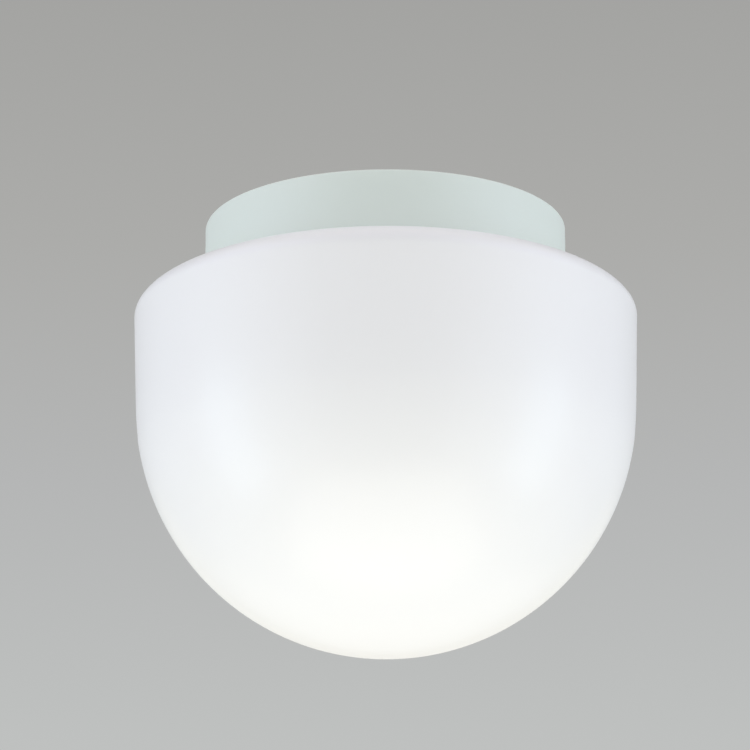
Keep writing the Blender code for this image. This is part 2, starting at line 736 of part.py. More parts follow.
def build_ceiling_packing():
    """Build the foam ring in the groove of the pan's back."""
    points = [
        (FOAM_INNER_RADIUS, 0),
        (FOAM_OUTER_RADIUS, 0),
        (FOAM_OUTER_RADIUS, -FOAM_THICKNESS),
        (FOAM_INNER_RADIUS, -FOAM_THICKNESS),
    ]
    return add_turned("ceiling_packing", points, "black_foam", closed=True)


def build_slot_bushes():
    """Build the two rubber bushes that line the fixing slots."""
    outer = SLOT_HALF_WIDTH - SEAT_GAP
    inner = outer - BUSH_WALL
    neck_height = PAN_BACK + BUSH_LIP_THICKNESS
    neck = finish_mesh("slot_bush", stadium_bmesh(outer, SLOT_HALF_RUN, neck_height))
    lips = stadium_bmesh(SLOT_HALF_WIDTH + BUSH_LIP, SLOT_HALF_RUN, BUSH_LIP_THICKNESS)
    bores = stadium_bmesh(inner, SLOT_HALF_RUN, neck_height + 2 * CUT_OVERRUN)
    bore = finish_mesh("bush_bore", bores)
    lip = finish_mesh("bush_lip", lips)
    for bush in add_copies("slot_bush", neck, "grey_rubber", slot_places(-SEAT_GAP)):
        axis = bush.location.xy
        join(bush, add_cutter("bush_lip", lip, (*axis, PAN_FLOOR - SEAT_GAP)))
        cut(bush, add_cutter("bush_bore", bore, (*axis, CUT_OVERRUN)))


def build_grommet():
    """Build the rubber grommet of the cable entry, a lip and a tapered sleeve."""
    lip_top = PAN_FLOOR - SEAT_GAP
    lip_bottom = lip_top - GROMMET_LIP_THICKNESS
    sleeve_bottom = lip_bottom - GROMMET_SLEEVE_HEIGHT
    points = [
        (GROMMET_BORE_RADIUS, -SEAT_GAP),
        (GROMMET_NECK_RADIUS, -SEAT_GAP),
        (GROMMET_NECK_RADIUS, lip_top),
        (GROMMET_LIP_RADIUS, lip_top),
        (GROMMET_LIP_RADIUS, lip_bottom),
        (GROMMET_SLEEVE_RADIUS + GROMMET_SLEEVE_TAPER, lip_bottom),
        (GROMMET_SLEEVE_RADIUS, sleeve_bottom),
        (GROMMET_BORE_RADIUS, sleeve_bottom),
    ]
    return add_turned(
        "cable_grommet", points, "grey_rubber", closed=True,
        segments=MEDIUM_SEGMENTS, location=(*CABLE_ENTRY, 0),
    )


def build_terminal_block():
    """Build the push-in terminal housing with its ears, wire holes and button shaft."""
    centre = Vector((*TERMINAL_CENTRE, TERMINAL_TOP - TERMINAL_SIZE.z / 2))
    mesh = box_mesh("terminal_block", TERMINAL_SIZE, TERMINAL_EDGE)
    block = add_part("terminal_block", mesh, "white_plastic", centre)
    join(block, terminal_ears())
    cut(block, hole_cutter(
        "terminal_ear_holes",
        terminal_ear_places(TERMINAL_EAR_TOP - TERMINAL_EAR_THICKNESS),
        SCREW_HOLE_RADIUS, TERMINAL_EAR_THICKNESS + CUT_OVERRUN,
    ))
    for row, wire_y in enumerate(wire_rows()):
        cut(block, wire_tunnel(row, wire_y))
        cut(block, contact_pocket(row, wire_y))
    cut(block, button_shaft())
    cut(block, button_chamber())
    return block


def terminal_ears():
    """Return the two screw ears of the terminal block."""
    reach = TERMINAL_EAR_RADIUS + JOIN_DEPTH
    bm = cone_bmesh(
        TERMINAL_EAR_RADIUS, TERMINAL_EAR_RADIUS, TERMINAL_EAR_THICKNESS, SMALL_SEGMENTS
    )
    mesh = merge_copies("terminal_ears", bm, terminal_ear_places(TERMINAL_EAR_TOP))
    ears = add_cutter("terminal_ears", mesh)
    tongue = box_mesh("terminal_tongue", (2 * TERMINAL_EAR_RADIUS, reach, TERMINAL_EAR_THICKNESS))
    middle = TERMINAL_SIZE.y / 2 - JOIN_DEPTH + reach / 2
    level = TERMINAL_EAR_TOP - TERMINAL_EAR_THICKNESS / 2
    for side in (-1, 1):
        place = (TERMINAL_CENTRE.x, TERMINAL_CENTRE.y + side * middle, level)
        join(ears, add_cutter("terminal_tongue", tongue, place))
    return ears


def wire_tunnel(row, wire_y):
    """Return the cutter of the tunnel that a wire runs through, end to end of the block."""
    length = TERMINAL_SIZE.x + 2 * CUT_OVERRUN
    bm = cone_bmesh(WIRE_ENTRY_RADIUS, WIRE_ENTRY_RADIUS, length, SMALL_SEGMENTS)
    bmesh.ops.rotate(bm, verts=bm.verts, matrix=Matrix.Rotation(math.pi / 2, 3, "Y"))
    start = TERMINAL_CENTRE.x + length / 2
    mesh = finish_mesh(f"wire_tunnel_{row}", bm)
    return add_cutter(f"wire_tunnel_{row}", mesh, (start, wire_y, CONTACT_LEVEL))


def contact_pocket(row, wire_y):
    """Return the cutter of the pocket round one contact."""
    size = CONTACT_SIZE + 2 * SEAT_GAP * Vector((1, 1, 1))
    mesh = box_mesh(f"contact_pocket_{row}", size)
    return add_cutter(f"contact_pocket_{row}", mesh, (TERMINAL_CENTRE.x, wire_y, CONTACT_LEVEL))


def button_shaft():
    """Return the cutter of the shaft that guides the release button."""
    height = CONTACT_BOTTOM - TERMINAL_BOTTOM + CUT_OVERRUN
    size = (BUTTON_WIDTH + 2 * SEAT_GAP, BUTTON_LENGTH + 2 * SEAT_GAP, height)
    middle = CONTACT_BOTTOM - height / 2
    return add_cutter(
        "button_shaft", box_mesh("button_shaft", size), (*TERMINAL_CENTRE, middle)
    )


def button_lip_bottom():
    """Return the height of the lower face of the button's lip at rest."""
    return CONTACT_BOTTOM - SEAT_GAP - BUTTON_TRAVEL - BUTTON_LIP_THICKNESS


def button_chamber():
    """Return the cutter of the wider chamber that holds the button's lip."""
    floor = button_lip_bottom() - SEAT_GAP
    size = (
        BUTTON_WIDTH + 2 * (BUTTON_LIP + SEAT_GAP),
        BUTTON_LENGTH + 2 * (BUTTON_LIP + SEAT_GAP),
        CONTACT_BOTTOM - floor,
    )
    middle = (CONTACT_BOTTOM + floor) / 2
    return add_cutter(
        "button_chamber", box_mesh("button_chamber", size), (*TERMINAL_CENTRE, middle)
    )


def build_terminal_contacts():
    """Build the two brass clamps, each a strip folded round the wire's path."""
    places = [Vector((TERMINAL_CENTRE.x, wire_y, CONTACT_LEVEL)) for wire_y in wire_rows()]
    window_size = CONTACT_SIZE + Vector((2 * CUT_OVERRUN, 0, 0))
    window_size -= 2 * CONTACT_SHEET * Vector((0, 1, 1))
    windows = merge_copies("contact_windows", box_bmesh(window_size), places)
    window_cutter = add_cutter("contact_windows", windows)
    mesh = box_mesh("terminal_contact", CONTACT_SIZE)
    for contact in add_copies("terminal_contact", mesh, "brass", places):
        cut(contact, window_cutter)


def build_terminal_release():
    """Build the release button, whose lip keeps it in the block."""
    lip_bottom = button_lip_bottom()
    bottom = TERMINAL_BOTTOM - BUTTON_STANDOUT
    lip_middle = lip_bottom + BUTTON_LIP_THICKNESS / 2
    lip = box_mesh("terminal_release", (
        BUTTON_WIDTH + 2 * BUTTON_LIP, BUTTON_LENGTH + 2 * BUTTON_LIP, BUTTON_LIP_THICKNESS,
    ))
    button = add_part("terminal_release", lip, "orange_plastic", (*TERMINAL_CENTRE, lip_middle))
    stem = box_mesh("button_stem", (BUTTON_WIDTH, BUTTON_LENGTH, lip_middle - bottom))
    join(button, add_cutter("button_stem", stem, (*TERMINAL_CENTRE, (lip_middle + bottom) / 2)))
    return button


def build_earth_washer():
    """Build the star washer of the earth point as a plain ring."""
    top = PAN_FLOOR - EARTH_BOSS_HEIGHT - SEAT_GAP
    points = [
        (SCREW_HOLE_RADIUS, top),
        (EARTH_WASHER_RADIUS, top),
        (EARTH_WASHER_RADIUS, top - EARTH_WASHER_THICKNESS),
        (SCREW_HOLE_RADIUS, top - EARTH_WASHER_THICKNESS),
    ]
    return add_turned(
        "earth_washer", points, "brass", closed=True,
        segments=SMALL_SEGMENTS, location=(*EARTH_POINT, 0),
    )


def build_driver_board():
    """Build the driver's circuit board with its two screw holes."""
    centre = Vector((*DRIVER_CENTRE, DRIVER_BOARD_TOP - DRIVER_BOARD_SIZE.z / 2))
    board = add_part(
        "driver_board", box_mesh("driver_board", DRIVER_BOARD_SIZE), "green_board", centre
    )
    cut(board, hole_cutter(
        "driver_board_holes", driver_corner_places(DRIVER_BOARD_BOTTOM)[:2],
        SCREW_HOLE_RADIUS, DRIVER_BOARD_SIZE.z + CUT_OVERRUN,
    ))
    return board


def build_transformer_core():
    """Build the ferrite core, a block with a ring-shaped window round its middle leg."""
    place = board_place(CORE_PLACE_SHARES, PART_LEVEL - CORE_SIZE.z / 2)
    core = add_part(
        "transformer_core", box_mesh("transformer_core", CORE_SIZE), "ferrite", place
    )
    half_window = CORE_SIZE.z / 2 - CORE_YOKE
    window_radius = WINDING_RADIUS + WINDING_GAP
    points = [
        (CORE_LEG_RADIUS, half_window),
        (window_radius, half_window),
        (window_radius, -half_window),
        (CORE_LEG_RADIUS, -half_window),
    ]
    window = add_cutter("core_window", profile_mesh("core_window", points, True), place)
    turn_profile(window, MEDIUM_SEGMENTS)
    cut(core, window)
    return core


def build_transformer_winding():
    """Build the taped winding round the core's middle leg."""
    half_height = CORE_SIZE.z / 2 - CORE_YOKE - SEAT_GAP
    inner = CORE_LEG_RADIUS + WINDING_GAP
    points = [
        (inner, half_height),
        (WINDING_RADIUS, half_height),
        (WINDING_RADIUS, -half_height),
        (inner, -half_height),
    ]
    place = board_place(CORE_PLACE_SHARES, PART_LEVEL - CORE_SIZE.z / 2)
    return add_turned(
        "transformer_winding", points, "yellow_tape", closed=True,
        segments=MEDIUM_SEGMENTS, location=place,
    )


def build_capacitors():
    """Build the driver's capacitors, upright cans with a rolled end."""
    bm = cone_bmesh(CAPACITOR_RADIUS, CAPACITOR_RADIUS, CAPACITOR_HEIGHT, SMALL_SEGMENTS)
    rims = []
    for edge in bm.edges:
        rise = abs(edge.verts[0].co.z - edge.verts[1].co.z)
        if rise < CAPACITOR_EDGE:
            rims.append(edge)
    bmesh.ops.bevel(
        bm, geom=rims, offset=CAPACITOR_EDGE, segments=1, profile=0.5, affect="EDGES"
    )
    mesh = finish_mesh("driver_capacitor", bm, smooth=True)
    places = [board_place(shares, PART_LEVEL) for shares in CAPACITOR_PLACE_SHARES]
    add_copies("driver_capacitor", mesh, "capacitor_sleeve", places)


def build_choke():
    """Build the drum choke with its wound waist."""
    waist_top = -CHOKE_FLANGE
    waist_bottom = CHOKE_FLANGE - CHOKE_HEIGHT
    points = [
        (0, 0),
        (CHOKE_RADIUS, 0),
        (CHOKE_RADIUS, waist_top),
        (CHOKE_WAIST_RADIUS, waist_top),
        (CHOKE_WAIST_RADIUS, waist_bottom),
        (CHOKE_RADIUS, waist_bottom),
        (CHOKE_RADIUS, -CHOKE_HEIGHT),
        (0, -CHOKE_HEIGHT),
    ]
    place = board_place(CHOKE_PLACE_SHARES, PART_LEVEL)
    return add_turned(
        "driver_choke", points, "copper_wire", segments=SMALL_SEGMENTS, location=place
    )


def build_chips():
    """Build the bridge rectifier and the switching chip."""
    places = [
        board_place(shares, PART_LEVEL - CHIP_SIZE.z / 2) for shares in CHIP_PLACE_SHARES
    ]
    add_copies("driver_chip", box_mesh("driver_chip", CHIP_SIZE), "chip_resin", places)


def build_fuse():
    """Build the input fuse, a small barrel that lies along the board."""
    half = FUSE_LENGTH / 2
    shoulder = half - FUSE_RADIUS
    points = [
        (0, half), (FUSE_END_RADIUS, half), (FUSE_RADIUS, shoulder),
        (FUSE_RADIUS, -shoulder), (FUSE_END_RADIUS, -half), (0, -half),
    ]
    place = board_place(FUSE_PLACE_SHARES, PART_LEVEL - FUSE_RADIUS)
    fuse = add_turned(
        "driver_fuse", points, "fuse_ceramic", segments=SMALL_SEGMENTS, location=place
    )
    fuse.rotation_euler.y = math.pi / 2
    return fuse


def supply_header_place():
    """Return the middle of the header where the supply leads arrive, on the board's side."""
    return Vector((
        DRIVER_CENTRE.x - DRIVER_BOARD_SIZE.x / 2 + HEADER_SIZE.y / 2,
        DRIVER_CENTRE.y + DRIVER_BOARD_SIZE.y / 2 - HEADER_SIZE.x / 2 - HEADER_MARGIN,
        HEADER_LEVEL,
    ))


def light_header_place():
    """Return the middle of the header that feeds the light board."""
    return Vector((
        LEAD_HOLE.x,
        DRIVER_CENTRE.y + DRIVER_BOARD_SIZE.y / 2 - HEADER_SIZE.y / 2,
        HEADER_LEVEL,
    ))


def build_headers():
    """Build the two lead headers of the driver."""
    places = [supply_header_place(), light_header_place()]
    mesh = box_mesh("driver_header", HEADER_SIZE)
    add_copies("driver_header", mesh, "white_plastic", places, [math.pi / 2, 0])


def build_driver_cover():
    """Build the insulating cover, an open-topped shell with two ears and lead windows."""
    top = PAN_FLOOR - SEAT_GAP
    centre = Vector((*DRIVER_CENTRE, top - DRIVER_COVER_SIZE.z / 2))
    bm = box_bmesh(DRIVER_COVER_SIZE)
    lid = [face for face in bm.faces if face.normal.z > 0.5]
    bmesh.ops.delete(bm, geom=lid, context="FACES_ONLY")
    kept = [edge for edge in bm.edges if len(edge.link_faces) == 2]
    bmesh.ops.bevel(
        bm, geom=kept, offset=DRIVER_COVER_EDGE, segments=DRIVER_COVER_EDGE_STEPS,
        profile=0.5, affect="EDGES",
    )
    mesh = bpy.data.meshes.new("driver_cover")
    bm.to_mesh(mesh)
    bm.free()
    cover = add_part("driver_cover", mesh, "white_plastic", centre)
    wall = cover.modifiers.new("wall", "SOLIDIFY")
    wall.thickness = DRIVER_COVER_WALL
    wall.offset = -1
    wall.use_even_offset = True
    join(cover, driver_ears())
    cut(cover, hole_cutter(
        "driver_ear_holes",
        driver_ear_places(DRIVER_EAR_TOP - DRIVER_EAR_THICKNESS),
        SCREW_HOLE_RADIUS, DRIVER_EAR_THICKNESS + CUT_OVERRUN,
    ))
    for window in lead_windows():
        cut(cover, window)
    return cover


def driver_ears():
    """Return the ears of the driver cover, each a round end on a short tongue."""
    bm = cone_bmesh(DRIVER_EAR_RADIUS, DRIVER_EAR_RADIUS, DRIVER_EAR_THICKNESS, SMALL_SEGMENTS)
    mesh = merge_copies("driver_ears", bm, driver_ear_places(DRIVER_EAR_TOP))
    ears = add_cutter("driver_ears", mesh)
    reach = DRIVER_EAR_REACH + JOIN_DEPTH
    tongue_size = (2 * DRIVER_EAR_RADIUS, reach, DRIVER_EAR_THICKNESS)
    for place in driver_ear_places(DRIVER_EAR_TOP - DRIVER_EAR_THICKNESS / 2):
        tongue = box_mesh("driver_tongue", tongue_size)
        join(ears, add_cutter("driver_tongue", tongue, place - Vector((0, reach / 2, 0))))
    return ears


def lead_windows():
    """Return the cutters of the windows where leads pass the driver cover's wall."""
    through = 2 * (DRIVER_COVER_WALL + CUT_OVERRUN)
    side_x = DRIVER_CENTRE.x - DRIVER_COVER_SIZE.x / 2
    side_y = DRIVER_CENTRE.y + DRIVER_COVER_SIZE.y / 2
    supply = box_mesh("supply_window", (through, *LEAD_WINDOW))
    light = box_mesh("light_window", (LEAD_WINDOW.x, through, LEAD_WINDOW.y))
    return [
        add_cutter("supply_window", supply, (side_x, supply_header_place().y, HEADER_LEVEL)),
        add_cutter("light_window", light, (light_header_place().x, side_y, HEADER_LEVEL)),
    ]


def build_plate():
    """Build the pressed carrier plate with its raised rim."""
    rim_inner = PLATE_RADIUS - PLATE_THICKNESS
    points = [
        (0, PLATE_TOP),
        (rim_inner, PLATE_TOP),
        (rim_inner, PLATE_TOP + PLATE_RIM_HEIGHT),
        (PLATE_RADIUS, PLATE_TOP + PLATE_RIM_HEIGHT),
        (PLATE_RADIUS, PLATE_BOTTOM + PLATE_THICKNESS / 2),
        (PLATE_RADIUS - PLATE_THICKNESS / 2, PLATE_BOTTOM),
        (0, PLATE_BOTTOM),
    ]
    plate = add_turned("led_plate", points, "aluminium_sheet", segments=ROUND_SEGMENTS)
    holes = plate_screw_places(PLATE_BOTTOM)
    holes += lens_screw_places(PLATE_BOTTOM) + board_screw_places(PLATE_BOTTOM)
    depth = PLATE_THICKNESS + CUT_OVERRUN
    cut(plate, hole_cutter("plate_holes", holes, SCREW_HOLE_RADIUS, depth))
    lead_place = [Vector((*LEAD_HOLE, PLATE_BOTTOM))]
    cut(plate, hole_cutter("plate_lead_hole", lead_place, LEAD_HOLE_RADIUS, depth))
    return plate


def build_light_board():
    """Build the round board that carries the diodes."""
    mesh = cylinder_mesh("led_board", BOARD_RADIUS, BOARD_THICKNESS, ROUND_SEGMENTS)
    board = add_part("led_board", mesh, "white_board", (0, 0, BOARD_TOP))
    depth = BOARD_THICKNESS + CUT_OVERRUN
    holes = board_screw_places(BOARD_BOTTOM)
    cut(board, hole_cutter("board_holes", holes, SCREW_HOLE_RADIUS, depth))
    lead_place = [Vector((*LEAD_HOLE, BOARD_BOTTOM))]
    cut(board, hole_cutter("board_lead_hole", lead_place, LEAD_HOLE_RADIUS, depth))
    return board


def build_diodes():
    """Build the ring of light-emitting diodes."""
    level = BOARD_BOTTOM - SEAT_GAP - DIODE_SIZE.z / 2
    places = circle_places(DIODE_RING_RADIUS, DIODE_COUNT, level, math.pi / 2)
    turns = [math.tau * index / DIODE_COUNT for index in range(DIODE_COUNT)]
    add_copies("led", box_mesh("led", DIODE_SIZE), "diode_resin", places, turns)


def connector_place():
    """Return the middle of the light board's connector."""
    level = BOARD_BOTTOM - SEAT_GAP - CONNECTOR_SIZE.z / 2
    return Vector((LEAD_HOLE.x, LEAD_HOLE.y - CONNECTOR_REACH, level))


def build_connector():
    """Build the light board's lead connector."""
    mesh = box_mesh("led_connector", CONNECTOR_SIZE)
    return add_part("led_connector", mesh, "white_plastic", connector_place())


def build_lens():
    """Build the clear lens: a shallow bowl with a flange and three screw ears."""
    flange_bottom = BOARD_TOP - LENS_WALL
    outer_radii = (LENS_OUTER_RADIUS, LENS_CROWN)
    inner_radii = (LENS_INNER_RADIUS, LENS_CROWN - LENS_WALL)
    quarter = math.pi / 2
    points = arc_points((0, flange_bottom), inner_radii, -quarter, 0, LENS_STEPS)
    points += [
        (LENS_INNER_RADIUS, BOARD_TOP),
        (LENS_OUTER_RADIUS + LENS_FLANGE, BOARD_TOP),
        (LENS_OUTER_RADIUS + LENS_FLANGE, flange_bottom),
    ]
    points += arc_points((0, flange_bottom), outer_radii, 0, -quarter, LENS_STEPS)
    points[0] = (0, flange_bottom - inner_radii[1])
    points[-1] = (0, flange_bottom - outer_radii[1])
    lens = add_turned("led_lens", points, "clear_lens", segments=MEDIUM_SEGMENTS)
    bm = cone_bmesh(LENS_EAR_RADIUS, LENS_EAR_RADIUS, LENS_WALL, SMALL_SEGMENTS)
    ears = merge_copies("lens_ears", bm, lens_screw_places(BOARD_TOP))
    join(lens, add_cutter("lens_ears", ears))
    cut(lens, hole_cutter(
        "lens_ear_holes", lens_screw_places(flange_bottom),
        SCREW_HOLE_RADIUS, LENS_WALL + CUT_OVERRUN,
    ))
    return lens


def round_corners(corners):
    """Return a route whose corners are rounded to the lead's bend."""
    route = [corners[0]]
    for before, corner, after in zip(corners, corners[1:], corners[2:]):
        start = corner + (before - corner).normalized() * LEAD_BEND
        end = corner + (after - corner).normalized() * LEAD_BEND
        for step in range(BEND_STEPS + 1):
            share = step / BEND_STEPS
            first = start.lerp(corner, share)
            second = corner.lerp(end, share)
            route.append(first.lerp(second, share))
    route.append(corners[-1])
    return route


def add_lead(name, route, radius, finish):
    """Add a lead, a round wire along its route."""
    curve = bpy.data.curves.new(name, "CURVE")
    curve.dimensions = "3D"
    curve.bevel_depth = radius
    curve.bevel_resolution = 2
    curve.use_fill_caps = True
    curve.materials.append(make_material(finish))
    spline = curve.splines.new("POLY")
    spline.points.add(len(route) - 1)
    for point, place in zip(spline.points, route):
        point.co = (*place, 1)
    lead = bpy.data.objects.new(name, curve)
    bpy.data.collections[COLLECTION_NAME].objects.link(lead)
    return lead


def build_supply_leads():
    """Build the two leads from the terminal block to the driver."""
    header = supply_header_place()
    middle_lane = DRIVER_CENTRE.x - DRIVER_COVER_SIZE.x / 2 - LEAD_STANDOFF
    for index, (side, wire_y) in enumerate(zip((1, -1), wire_rows())):
        lane = middle_lane + side * LEAD_SPACING / 2
        start_x = TERMINAL_CENTRE.x - CONTACT_SIZE.x / 2 - SEAT_GAP
        end_x = header.x - HEADER_SIZE.y / 2 - SEAT_GAP
        end_y = header.y + side * LEAD_SPACING / 2
        corners = [
            Vector((start_x, wire_y, CONTACT_LEVEL)),
            Vector((lane, wire_y, CONTACT_LEVEL)),
            Vector((lane, end_y, HEADER_LEVEL)),
            Vector((end_x, end_y, HEADER_LEVEL)),
        ]
        route = round_corners(corners)
        add_lead(f"supply_lead_{index + 1}", route, SUPPLY_LEAD_RADIUS, LEAD_FINISHES[index])


def build_light_leads():
    """Build the two leads from the driver through the plate to the light board."""
    header = light_header_place()
    connector = connector_place()
    for index, side in enumerate((-1, 1)):
        lane = LEAD_HOLE.x + side * LEAD_SPACING / 2
        start_y = header.y + HEADER_SIZE.y / 2 + SEAT_GAP
        end_y = connector.y + CONNECTOR_SIZE.y / 2 + SEAT_GAP
        corners = [
            Vector((lane, start_y, HEADER_LEVEL)),
            Vector((lane, LEAD_HOLE.y, HEADER_LEVEL)),
            Vector((lane, LEAD_HOLE.y, connector.z)),
            Vector((lane, end_y, connector.z)),
        ]
        route = round_corners(corners)
        add_lead(f"led_lead_{index + 1}", route, LIGHT_LEAD_RADIUS, LEAD_FINISHES[index])


def build_cover_packing():
    """Build the flat ring that seals the cover against the pan's rim."""
    inner = NECK_RADIUS + SEAT_GAP
    outer = PAN_RADIUS - PACKING_INSET
    points = [
        (inner, PACKING_TOP),
        (outer, PACKING_TOP),
        (outer, PACKING_TOP - PACKING_THICKNESS),
        (inner, PACKING_TOP - PACKING_THICKNESS),
    ]
    return add_turned("cover_packing", points, "grey_rubber", closed=True)


def cover_inner_points():
    """Return the cover's inner side, from the bottom of the bowl up to the neck's roof."""
    side_inner = COVER_RADIUS - COVER_WALL
    shoulder_centre = (COVER_RADIUS - SHOULDER_SPREAD, SIDE_TOP)
    bowl_radii = (side_inner - SIDE_DRAFT, BOWL_DEPTH - COVER_WALL)
    shoulder_radii = (SHOULDER_SPREAD - COVER_WALL, SHOULDER_DROP - COVER_WALL)
    quarter = math.pi / 2
    points = arc_points((0, SIDE_BOTTOM), bowl_radii, -quarter, 0, BOWL_STEPS)
    points[0] = (0, SIDE_BOTTOM - bowl_radii[1])
    points += arc_points(shoulder_centre, shoulder_radii, 0, quarter, SHOULDER_STEPS)
    points.append((NECK_BORE_RADIUS, COVER_ROOF - COVER_WALL))
    return points


def cover_outer_points():
    """Return the cover's outer side, from the neck down to the bottom of the bowl."""
    shoulder_centre = (COVER_RADIUS - SHOULDER_SPREAD, SIDE_TOP)
    bowl_radii = (COVER_RADIUS - SIDE_DRAFT, BOWL_DEPTH)
    shoulder_radii = (SHOULDER_SPREAD, SHOULDER_DROP)
    quarter = math.pi / 2
    points = [(NECK_RADIUS, COVER_ROOF)]
    points += arc_points(shoulder_centre, shoulder_radii, quarter, 0, SHOULDER_STEPS)
    points += arc_points((0, SIDE_BOTTOM), bowl_radii, 0, -quarter, BOWL_STEPS)
    points[-1] = (0, SIDE_BOTTOM - BOWL_DEPTH)
    return points


def build_cover():
    """Build the opal cover with its threaded neck."""
    neck_top = COVER_ROOF + NECK_HEIGHT
    points = cover_inner_points()
    points += [
        (NECK_BORE_RADIUS, neck_top - NECK_LIP),
        (NECK_BORE_RADIUS + NECK_LIP, neck_top),
        (NECK_RADIUS - NECK_LIP, neck_top),
        (NECK_RADIUS, neck_top - NECK_LIP),
    ]
    points += cover_outer_points()
    cover = add_turned("opal_cover", points, "opal_acrylic")
    join(cover, helical_ridge("cover_thread", NECK_RADIUS, 1, math.pi))
    return cover


def build_screws():
    """Build every screw, named for what it holds."""
    terminal_seat = TERMINAL_EAR_TOP - TERMINAL_EAR_THICKNESS
    add_screws("terminal_screw", terminal_ear_places(terminal_seat))
    earth_seat = PAN_FLOOR - EARTH_BOSS_HEIGHT - SEAT_GAP - EARTH_WASHER_THICKNESS
    add_screws("earth_screw", [(*EARTH_POINT, earth_seat)])
    add_screws("driver_board_screw", driver_corner_places(DRIVER_BOARD_BOTTOM)[:2])
    driver_seat = DRIVER_EAR_TOP - DRIVER_EAR_THICKNESS
    add_screws("driver_cover_screw", driver_ear_places(driver_seat))
    add_screws("plate_screw", plate_screw_places(PLATE_BOTTOM))
    add_screws("led_board_screw", board_screw_places(BOARD_BOTTOM))
    add_screws("lens_screw", lens_screw_places(BOARD_TOP - LENS_WALL))


def hang_on_axis(name, part):
    """Parent a moving piece to an empty on the axis that it moves along or about."""
    axis = bpy.data.objects.new(name, None)
    axis.empty_display_type = "SINGLE_ARROW"
    axis.empty_display_size = PAN_RADIUS
    bpy.data.collections[COLLECTION_NAME].objects.link(axis)
    part.parent = axis


def main():
    """Build the whole light."""
    clear_scene()
    make_collection(COLLECTION_NAME)
    make_collection(CUTTER_COLLECTION_NAME)
    build_pan()
    build_ceiling_packing()
    build_slot_bushes()
    build_grommet()
    build_terminal_block()
    build_terminal_contacts()
    build_terminal_release()
    build_earth_washer()
    build_driver_board()
    build_transformer_core()
    build_transformer_winding()
    build_capacitors()
    build_choke()
    build_chips()
    build_fuse()
    build_headers()
    build_driver_cover()
    build_plate()
    build_light_board()
    build_diodes()
    build_connector()
    build_lens()
    build_supply_leads()
    build_light_leads()
    build_screws()
    hang_on_axis("cover_drop_axis", build_cover_packing())
    hang_on_axis("cover_twist_axis", build_cover())


main()
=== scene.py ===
"""Looks of a surface-mounted LED ceiling light with an opal cover that screws into its pan.

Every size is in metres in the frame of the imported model: +Z up, the origin in the middle
of the face that meets the ceiling, and the light hanging below it. Each sub-assembly is a
class that holds its sizes, builds its meshes with bmesh operators and dresses them.
"""

import logging
import math
from collections.abc import Iterable, Sequence
from dataclasses import dataclass, field
from enum import Enum

import bmesh
import bpy
from bmesh.types import BMesh, BMVert
from mathutils import Matrix, Vector

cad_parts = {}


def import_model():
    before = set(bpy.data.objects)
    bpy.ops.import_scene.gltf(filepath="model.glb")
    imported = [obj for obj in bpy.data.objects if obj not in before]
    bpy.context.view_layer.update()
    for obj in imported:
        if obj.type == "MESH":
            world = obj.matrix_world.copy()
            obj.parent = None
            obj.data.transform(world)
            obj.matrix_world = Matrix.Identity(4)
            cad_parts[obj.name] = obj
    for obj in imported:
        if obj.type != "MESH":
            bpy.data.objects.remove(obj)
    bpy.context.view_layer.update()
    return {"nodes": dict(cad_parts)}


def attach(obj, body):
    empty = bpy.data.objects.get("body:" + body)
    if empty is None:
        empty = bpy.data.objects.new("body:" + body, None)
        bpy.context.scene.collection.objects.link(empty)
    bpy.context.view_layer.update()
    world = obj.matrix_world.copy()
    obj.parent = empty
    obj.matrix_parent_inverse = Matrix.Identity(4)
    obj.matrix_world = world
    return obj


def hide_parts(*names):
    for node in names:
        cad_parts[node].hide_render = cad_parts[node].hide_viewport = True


LOG = logging.getLogger("ceiling_light")

Pair = tuple[float, float]
Triple = tuple[float, float, float]
Socket = bpy.types.NodeSocket

UP = Vector((0, 0, 1))
QUARTER = math.pi / 2
MERGE_DISTANCE = 1e-5
SLIVER = 1e-6  # edges shorter than this are what a boolean step leaves behind
SMOOTH_ANGLE = math.radians(34)
GAP = 0.0003  # left between a piece and what carries it
OVERSHOOT = 0.001  # how far a cutter reaches past the face that it opens
SIDES = (-1, 1)


def linear(colour: Triple) -> Triple:
    """Turn a display colour into the linear colour that a shader takes.

    Args:
        colour: Red, green and blue, 0 to 255.

    Returns:
        The linear red, green and blue.
    """
    levels = []
    for level in colour:
        share = level / 255
        levels.append(share / 12.92 if share <= 0.04045 else ((share + 0.055) / 1.055) ** 2.4)
    return tuple(levels)


def around(radius: float, count: int, height: float, start: float = QUARTER) -> list[Vector]:
    """Space places evenly on a circle about the axis, counterclockwise from above."""
    turns = [start + math.tau * index / count for index in range(count)]
    return [Vector((radius * math.cos(turn), radius * math.sin(turn), height)) for turn in turns]


# --------------------------------------------------------------------------- modelling


class Affect(Enum):
    """What a bevel rounds."""

    CORNERS = "VERTICES"
    EDGES = "EDGES"


def bevel(bm: BMesh, geom: list, reach: float, steps: int, affect: Affect = Affect.EDGES) -> None:
    """Round edges, or corners given by their points, over a reach and in a number of steps."""
    bmesh.ops.bevel(
        bm, geom=geom, offset=reach, segments=steps, profile=0.5,
        affect=affect.value, material=-1,
    )


def moved(bm: BMesh, place: Iterable[float], turn: float = 0, axis: str = "Z") -> BMesh:
    """Turn a shape about an axis through the origin, then put it in its place.

    Args:
        bm: The shape's bmesh.
        place: Where its origin goes.
        turn: Its turn.
        axis: Name of the axis.

    Returns:
        The same bmesh.
    """
    bmesh.ops.rotate(bm, verts=bm.verts, matrix=Matrix.Rotation(turn, 3, axis))
    bmesh.ops.translate(bm, vec=Vector(place), verts=bm.verts)
    return bm


